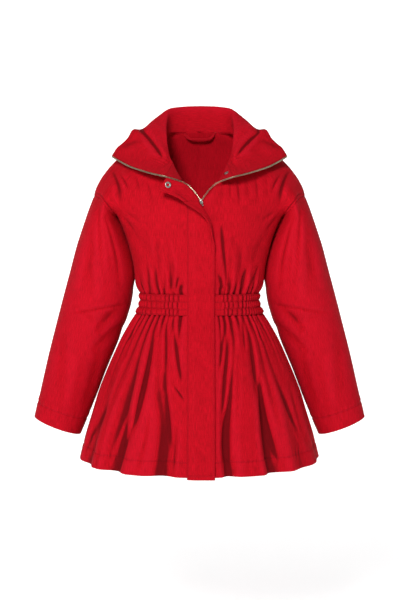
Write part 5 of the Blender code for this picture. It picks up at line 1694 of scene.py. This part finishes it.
def flap_surface(rows, along):
    """Above the slider: ruled between the zip's edge and the flap's free edge."""
    shares = np.linspace(TURNED[0][0], TURNED[-1][0], rows)
    edge = through(TURNED, shares)
    beside = to_side(zip_edge(shares), -1)
    way = np.cross(to_side(zip_edge(shares + 0.01), -1) - beside, [0, 1.0, 0])
    way /= np.linalg.norm(way, axis=1, keepdims=True)
    way *= -np.sign(way[:, 2:])
    bend = beside + way * BESIDE_ZIP - [0, AHEAD_OF_ZIP, 0]
    return bend[:, None] + (edge - bend)[:, None] * along[:, None]


BEND = FLAT_COLUMNS - 1 + BEND_COLUMNS // 2  # the column from which the flap goes on
low = placket_surface(PLACKET_HEIGHTS)
columns = low.shape[1]
step = np.arange(columns - BEND)
half_bend, end = BEND_COLUMNS // 2, columns - 1 - BEND
along = np.interp(step, [0, half_bend, (half_bend + end) / 2, end], [0, 0.15, 0.55, 1])
flap = flap_surface(50, along)
join = np.linspace(0, 1, 6)[1:-1, None, None]
between = low[-1:, BEND:] * (1 - join) + flap[:1] * join
top = np.concatenate([between, flap])
unused = np.repeat(top[:, :1], BEND, axis=1)
points = np.concatenate([low, np.concatenate([unused, top], axis=1)])
kept = np.ones((len(points) - 1, columns - 1), bool)
kept[len(low) - 1 :, :BEND] = False
out = normals(points, quads(*points.shape[:2], kept=kept))
out = out if out[0, 0, 1] < 0 else -out
u, v = runs(points)
from_free, from_seam, from_end = u[:, -1:] - u, u, v
relief = folds(points, PLACKET_FOLDS) * ease(from_free / 5) * np.sign(-out[..., 1] + 0.2)
relief += (
    puckers(v, from_free - EDGE_LINE, 2.0, depth=0.4)
    + sewn(from_free - 6.0, 0.5, 1.6)
    + sewn(from_seam, 0.7, 2.0) * (points[..., 2] < -140)
)
relief[~np.isfinite(relief)] = 0
points += out * relief[..., None]
cloth(
    "cloth_placket",
    points,
    out,
    DOUBLE,
    row_lines=to_lines(from_end, [8.0]),
    column_lines=to_lines(np.minimum(from_free, from_seam + 1.0), [EDGE_LINE]),
    kept=kept,
)

# %% [markdown]
# ## Hanger loop
#
# A folded strip of the same cloth, caught at both ends inside the back of the neck.

# %% Strips along a path
def across_path(path, sideways):
    """At each point of a path: the way ahead, the way across it, and the way up."""
    ahead = np.gradient(path, axis=0)
    ahead /= np.linalg.norm(ahead, axis=1, keepdims=True)
    side = sideways - ahead * (sideways * ahead).sum(1, keepdims=True)
    side /= np.linalg.norm(side, axis=1, keepdims=True)
    return ahead, side, np.cross(ahead, side)


knots = np.array(LOOP)
at = np.arange(len(knots), dtype=float)
path = through(np.column_stack([at, knots]), np.linspace(0, at[-1], 90))
ahead, side, up = across_path(path, np.cross(np.gradient(path, axis=0), [0, 1.0, 0]))
span = np.linspace(-1, 1, 13)
crown = 0.35 * (1 - span**2)
points = (
    path[:, None] + side[:, None] * (span * LOOP_WIDE / 2)[:, None] + up[:, None] * (CLOTH / 2 + crown - 0.35)[:, None]
)
out = np.broadcast_to(up[:, None], points.shape).copy()
u, v = runs(points)
cloth("cloth_hanger_loop", points, out, CLOTH, column_lines=to_lines(u, [1.0, LOOP_WIDE - 1.0]))

# %% [markdown]
# ## Zip
#
# Only the metal teeth are built, and not the tape that each row is clamped on. On the
# opened lapels and collar the teeth show. Below the slider the two rows mesh behind the placket.
# One small tooth is worked out once and repeated along the path as whole arrays.

# %% One tooth, many places
TOOTH_PITCH = 2.3
TOOTH = [
    # across the row, half along it, half thickness: from the crimped end to the tip
    (-1.5, 0.30, 0.55),
    (-1.3, 0.62, 0.95),
    (0.2, 0.66, 1.00),
    (0.9, 0.50, 0.85),
    (1.5, 0.62, 0.70),
    (1.8, 0.28, 0.35),
]
CORNERS = np.array(
    [(1.0, 0.55), (0.55, 1.0), (-0.55, 1.0), (-1.0, 0.55), (-1.0, -0.55), (-0.55, -1.0), (0.55, -1.0), (1.0, -0.55)]
)


def closed_tube(rings, columns):
    """The faces of rings stacked along a path, with a flat cap at both ends."""
    faces = quads(rings, columns, closed=True).tolist()
    return faces + [list(range(columns))[::-1], list(range((rings - 1) * columns, rings * columns))]


def outward(points, faces):
    """Turns every face round if the closed shape's volume comes out negative."""
    volume = sum(
        np.dot(points[f[0]], np.cross(points[f[k]], points[f[k + 1]])) for f in faces for k in range(1, len(f) - 1)
    )
    return faces if volume > 0 else [f[::-1] for f in faces]


def teeth(path, sideways, spread):
    """Teeth along a path. Sideways is the way from the crimped end to each tooth's tip."""
    steps = np.linalg.norm(np.diff(path, axis=0), axis=1)
    run = np.concatenate([[0], np.cumsum(steps)])
    at = np.arange(TOOTH_PITCH * (0.5 + spread / 2), run[-1], TOOTH_PITCH)
    place = through(np.column_stack([run, path]), at)
    ahead, side, up = across_path(place, through(np.column_stack([run, sideways]), at))
    across, long, thick = np.array(TOOTH).T
    ring_at = side[:, None, None] * across[:, None, None]
    ring_long = ahead[:, None, None] * (long[:, None] * CORNERS[:, 0])[..., None]
    ring_thick = up[:, None, None] * (thick[:, None] * CORNERS[:, 1])[..., None]
    points = place[:, None, None] + ring_at + ring_long + ring_thick
    one = closed_tube(len(TOOTH), len(CORNERS))
    faces = outward(points[0].reshape(-1, 3), one)
    size = len(TOOTH) * len(CORNERS)
    return points.reshape(-1, 3), [[i + k * size for i in face] for k in range(len(at)) for face in faces]


def mesh_of(name, points, faces, sharp=40):
    mesh = bpy.data.meshes.new(name)
    mesh.from_pydata((points * MM).tolist(), [], faces)
    mesh.shade_smooth()
    mesh.set_sharp_from_angle(angle=np.radians(sharp))
    return mesh


def hard(name, parts, body, surface, nodes):
    """Joins hard shapes, each points and faces, into one piece."""
    points, faces, start = [], [], 0
    for more, its in parts:
        points.append(more)
        faces += [[i + start for i in face] for face in its]
        start += len(more)
    made = finished(name, mesh_of(name, np.concatenate(points), faces), body, surface, nodes)
    made.data.set_sharp_from_angle(angle=np.radians(40))
    return made


# %% Teeth on the jacket
def fine_path(path, count):
    steps = np.linalg.norm(np.diff(path, axis=0), axis=1)
    run = np.concatenate([[0], np.cumsum(steps)])
    return through(np.column_stack([run, path]), np.linspace(0, run[-1], count))


shares = np.linspace(0.022, 1, 120)
lean = np.where(shares[:, None] < 0.3, [-0.8, 0, 0.6], [0.0, 0.1, 1.0])
lean = np.array([np.convolve(np.pad(c, 8, mode="edge"), np.ones(17) / 17, "valid") for c in lean.T]).T
for name, side in (("zip_left", -1), ("zip_right", 1)):
    way = lean if side > 0 else mirrored(lean)
    points, faces = teeth(to_side(zip_edge(shares), side), -way, 0.0)
    hard(name + "_teeth", [(points, faces)], "jacket", BRASS, [name])

CLOSED_ENDS = (-684, -136)  # the closed zip, from the hem up to just under the slider
CLOSED_STEPS = 160
heights = np.linspace(*CLOSED_ENDS, CLOSED_STEPS)
middle_x = 0 * heights + CENTRE_X
closed = fine_path(stack(middle_x, front_y(middle_x, heights) - 0.9, heights), CLOSED_STEPS)
rows = [teeth(closed + [1.1 * s, 0, 0], np.tile([-1.0 * s, 0, 0], (CLOSED_STEPS, 1)), s) for s in (-1, 1)]
hard("zip_closed_teeth", rows, "jacket", BRASS, ["zip_closed"])

# %% [markdown]
# ## Slider, pull, snap and rivet
#
# The slider is a small wedge with a bridge over it. Its pull hangs from the bridge and
# swings, so it rides on its own body. Snap and rivet are turned: a profile spun about an
# axis that stands on the cloth.

# %% Shapes in metal
def lathe(profile, centre, axis, sides=48):
    """A closed profile of radius and height spun about an axis."""
    axis = np.asarray(axis, float) / np.linalg.norm(axis)
    first = np.cross(axis, [0, 0, 1.0])
    first /= np.linalg.norm(first)
    turn = np.linspace(0, 2 * np.pi, sides, endpoint=False)[:, None, None]
    radius, height = np.asarray(profile, float).T
    ray = np.cos(turn) * first + np.sin(turn) * np.cross(axis, first)
    points = np.asarray(centre) + ray * radius[:, None] + axis * height[:, None]
    columns = len(profile)
    i, j = (x.ravel() for x in np.meshgrid(np.arange(sides), np.arange(columns), indexing="ij"))
    n, m = (i + 1) % sides, (j + 1) % columns
    faces = np.stack([i * columns + j, n * columns + j, n * columns + m, i * columns + m], 1).tolist()
    flat = points.reshape(-1, 3)
    return flat, outward(flat - flat.mean(0), faces)


def bar(table, centre, square=4.0, sides=24):
    """An upright bar: superellipses whose half width and half thickness follow a table."""
    height, wide, thick = np.array(table, float).T
    turn = np.linspace(0, 2 * np.pi, sides, endpoint=False)
    x = np.sign(np.cos(turn)) * np.abs(np.cos(turn)) ** (2 / square)
    y = np.sign(np.sin(turn)) * np.abs(np.sin(turn)) ** (2 / square)
    points = np.asarray(centre) + stack(wide[:, None] * x, thick[:, None] * y, height[:, None])
    flat = points.reshape(-1, 3)
    return flat, outward(flat - flat.mean(0), closed_tube(len(height), sides))


def wire(path, radius, sides=10, closed=False):
    """A round wire along a path in the upright plane that faces the front."""
    ahead = np.roll(path, -1, 0) - np.roll(path, 1, 0) if closed else np.gradient(path, axis=0)
    ahead /= np.linalg.norm(ahead, axis=1, keepdims=True)
    front = np.array([0, 1.0, 0])
    side = np.cross(ahead, front)
    side /= np.linalg.norm(side, axis=1, keepdims=True)
    up = np.cross(side, ahead)
    turn = np.linspace(0, 2 * np.pi, sides, endpoint=False)
    points = path[:, None] + (side[:, None] * np.cos(turn)[:, None] + up[:, None] * np.sin(turn)[:, None]) * radius
    flat = points.reshape(-1, 3)
    if closed:
        count = len(path)
        i, j = (x.ravel() for x in np.meshgrid(np.arange(count), np.arange(sides), indexing="ij"))
        n, m = (i + 1) % count, (j + 1) % sides
        faces = np.stack([i * sides + j, n * sides + j, n * sides + m, i * sides + m], 1).tolist()
    else:
        faces = closed_tube(len(path), sides)
    return flat, outward(flat - flat.mean(0), faces)


# %% Slider and pull
SLIDER_AT = np.array([3.0, -121.8, -126.5])
SLIDER_BODY = [
    # height, half width, half thickness: two wings spread at the top, one mouth below
    (-5.0, 1.5, 0.9),
    (-4.8, 2.0, 1.4),
    (-4.2, 2.3, 1.75),
    (-1.0, 2.4, 1.9),
    (1.5, 2.7, 2.05),
    (3.8, 2.8, 2.05),
    (4.6, 2.4, 1.6),
    (5.0, 1.6, 0.9),
]
turn = np.linspace(0, np.pi, 17)
bridge = SLIDER_AT + stack(0 * turn, -2.0 - 0.75 * np.sin(turn), 2.9 * np.cos(turn))
bridge_wire = wire(bridge + [0.9, 0, 0], 0.32), wire(bridge - [0.9, 0, 0], 0.32)
hard("slider", [bar(SLIDER_BODY, SLIDER_AT), *bridge_wire], "jacket", STEEL, ["zip_slider"])

PULL_RING = 1.35  # half width of the pull's lower ring
around = np.linspace(0, 2 * np.pi, 40, endpoint=False)
ring_path = np.array(PULL_PIVOT) + stack(
    PULL_RING * 0.78 * np.sin(around), 0 * around, -6.1 + 1.9 * np.cos(around)
)
neck_table = [
    (0.72, 0.5, 0.30),
    (0.6, 1.1, 0.48),
    (0.2, 1.15, 0.52),
    (-1.5, 0.95, 0.52),
    (-4.3, 1.0, 0.5),
    (-4.5, 0.6, 0.3),
]
hard("pull", [bar(neck_table, PULL_PIVOT), wire(ring_path, 0.5, closed=True)], "pull", STEEL, ["zip_pull"])

# %% Snap and rivet
SNAP_PROFILE = [
    # radius, height: a rolled ring with a deep hole
    (3.0, 0.05),
    (6.3, 0.0),
    (6.5, 0.15),
    (6.5, 0.6),
    (6.2, 1.05),
    (5.6, 1.38),
    (4.8, 1.5),
    (4.1, 1.42),
    (3.6, 1.15),
    (3.35, 0.75),
    (3.0, 0.6),
]
RIVET_PROFILE = [
    (1.2, 0.0),
    (4.8, 0.0),
    (5.0, 0.2),
    (5.0, 0.65),
    (4.5, 1.1),
    (3.8, 1.42),
    (3.0, 1.4),
    (2.3, 1.1),
    (1.8, 0.85),
    (1.2, 0.75),
]
RIVET_PIN = [(0.001, 0.1), (1.15, 0.1), (1.15, 0.7), (0.8, 1.0), (0.001, 1.1)]
flap_grid, flap_out = turned_back()
at, out = nearest(flap_grid, flap_out, *SNAP_XZ)
seat = at + out * (DOUBLE + SNAP_SEATED)
hard("snap", [lathe(SNAP_PROFILE, seat, out)], "jacket", STEEL, ["snap_socket"])
lapel, lapel_out = lapel_surface()
at, out = nearest(lapel, lapel_out, *RIVET_XZ)
seat = at + out * SEATED
hard("rivet", [lathe(RIVET_PROFILE, seat, out), lathe(RIVET_PIN, seat, out)], "jacket", STEEL, ["snap_rivet"])

# %% [markdown]
# ## Cut sizes
#
# `cloth` prints each piece's size. The pieces lie in one plane nowhere, so these are lengths
# measured along the cloth, and the area is what is left of that rectangle once its curved
# edges are cut. Gathered edges need more than they measure.

# %% [markdown]
# ## Stage
#
# A pale floor with a backdrop that rises from it in one curve, a large soft light in
# front, weaker ones at the sides, and the camera where the photograph was taken from.

# %% Floor and backdrop
FLOOR = -1.15
SWEEP = [
    # distance behind the jacket, height
    (-6.0, FLOOR),
    (3.0, FLOOR),
    (4.2, FLOOR + 0.08),
    (5.3, FLOOR + 0.35),
    (6.1, FLOOR + 0.9),
    (6.6, FLOOR + 1.8),
    (6.8, 6.0),
]
profile = np.array(SWEEP)
knots = np.arange(len(profile), dtype=float)
fine = through(np.column_stack([knots, profile]), np.linspace(0, knots[-1], 60))
wide = np.linspace(-9, 9, 3)
grid = stack(wide[None, :], fine[:, :1], fine[:, 1:2])
mesh = bpy.data.meshes.new("backdrop")
mesh.from_pydata(grid.reshape(-1, 3).tolist(), [], quads(60, 3).tolist())
mesh.shade_smooth()
paper = Board("pale_paper")
where = paper.node("TexCoord", {}, {}, "Object")
tone = paper.noise(where, 0.6, 1.0)
paper.put(paper.shader.inputs["Base Color"], paper.blend(tone, (0.90, 0.90, 0.905, 1), (0.94, 0.94, 0.94, 1)))
paper.put(paper.shader.inputs["Roughness"], tone * 0.1 + 0.85)
paper.shader.inputs["Emission Color"].default_value = (1, 1, 1, 1)
paper.shader.inputs["Emission Strength"].default_value = 0.54
mesh.materials.append(paper.material)
backdrop = bpy.data.objects.new("backdrop", mesh)
bpy.context.scene.collection.objects.link(backdrop)


# %% Lights
def soft_light(name, at, aim, size, watts):
    lamp = bpy.data.lights.new(name, "AREA")
    lamp.shape = "RECTANGLE"
    lamp.size, lamp.size_y = size
    lamp.energy = watts
    made = bpy.data.objects.new(name, lamp)
    made.location = at
    made.rotation_euler = (Vector(aim) - Vector(at)).to_track_quat("-Z", "Y").to_euler()
    bpy.context.scene.collection.objects.link(made)


MIDDLE = (0.0, 0.0, -0.35)
soft_light("front_light", (-0.75, -2.9, 1.3), MIDDLE, (0.8, 0.8), 102)
soft_light("left_light", (-2.4, -1.2, 0.4), MIDDLE, (1.0, 2.0), 3)
soft_light("right_light", (2.4, -1.2, 0.4), MIDDLE, (1.0, 2.0), 6)
soft_light("top_light", (0.0, -0.2, 2.6), MIDDLE, (2.0, 2.0), 9)
soft_light("backdrop_light", (0.0, 3.2, 3.0), (0.0, 6.0, -0.3), (5.0, 1.5), 110)
world = bpy.data.worlds.new("studio")
world.use_nodes = True
world.node_tree.nodes["Background"].inputs["Color"].default_value = (1, 1, 1, 1)
world.node_tree.nodes["Background"].inputs["Strength"].default_value = 0.07
bpy.context.scene.world = world
bpy.context.scene.view_settings.view_transform = "Standard"

# %% Camera
camera = bpy.data.cameras.new("camera")
camera.sensor_fit = "VERTICAL"
camera.sensor_height = SENSOR
camera.lens = LENS
viewpoint = bpy.data.objects.new("camera", camera)
viewpoint.location = CAMERA_AT
viewpoint.rotation_euler = (np.pi / 2 - CAMERA_DOWN, 0, 0)
bpy.context.scene.collection.objects.link(viewpoint)
bpy.context.scene.camera = viewpoint
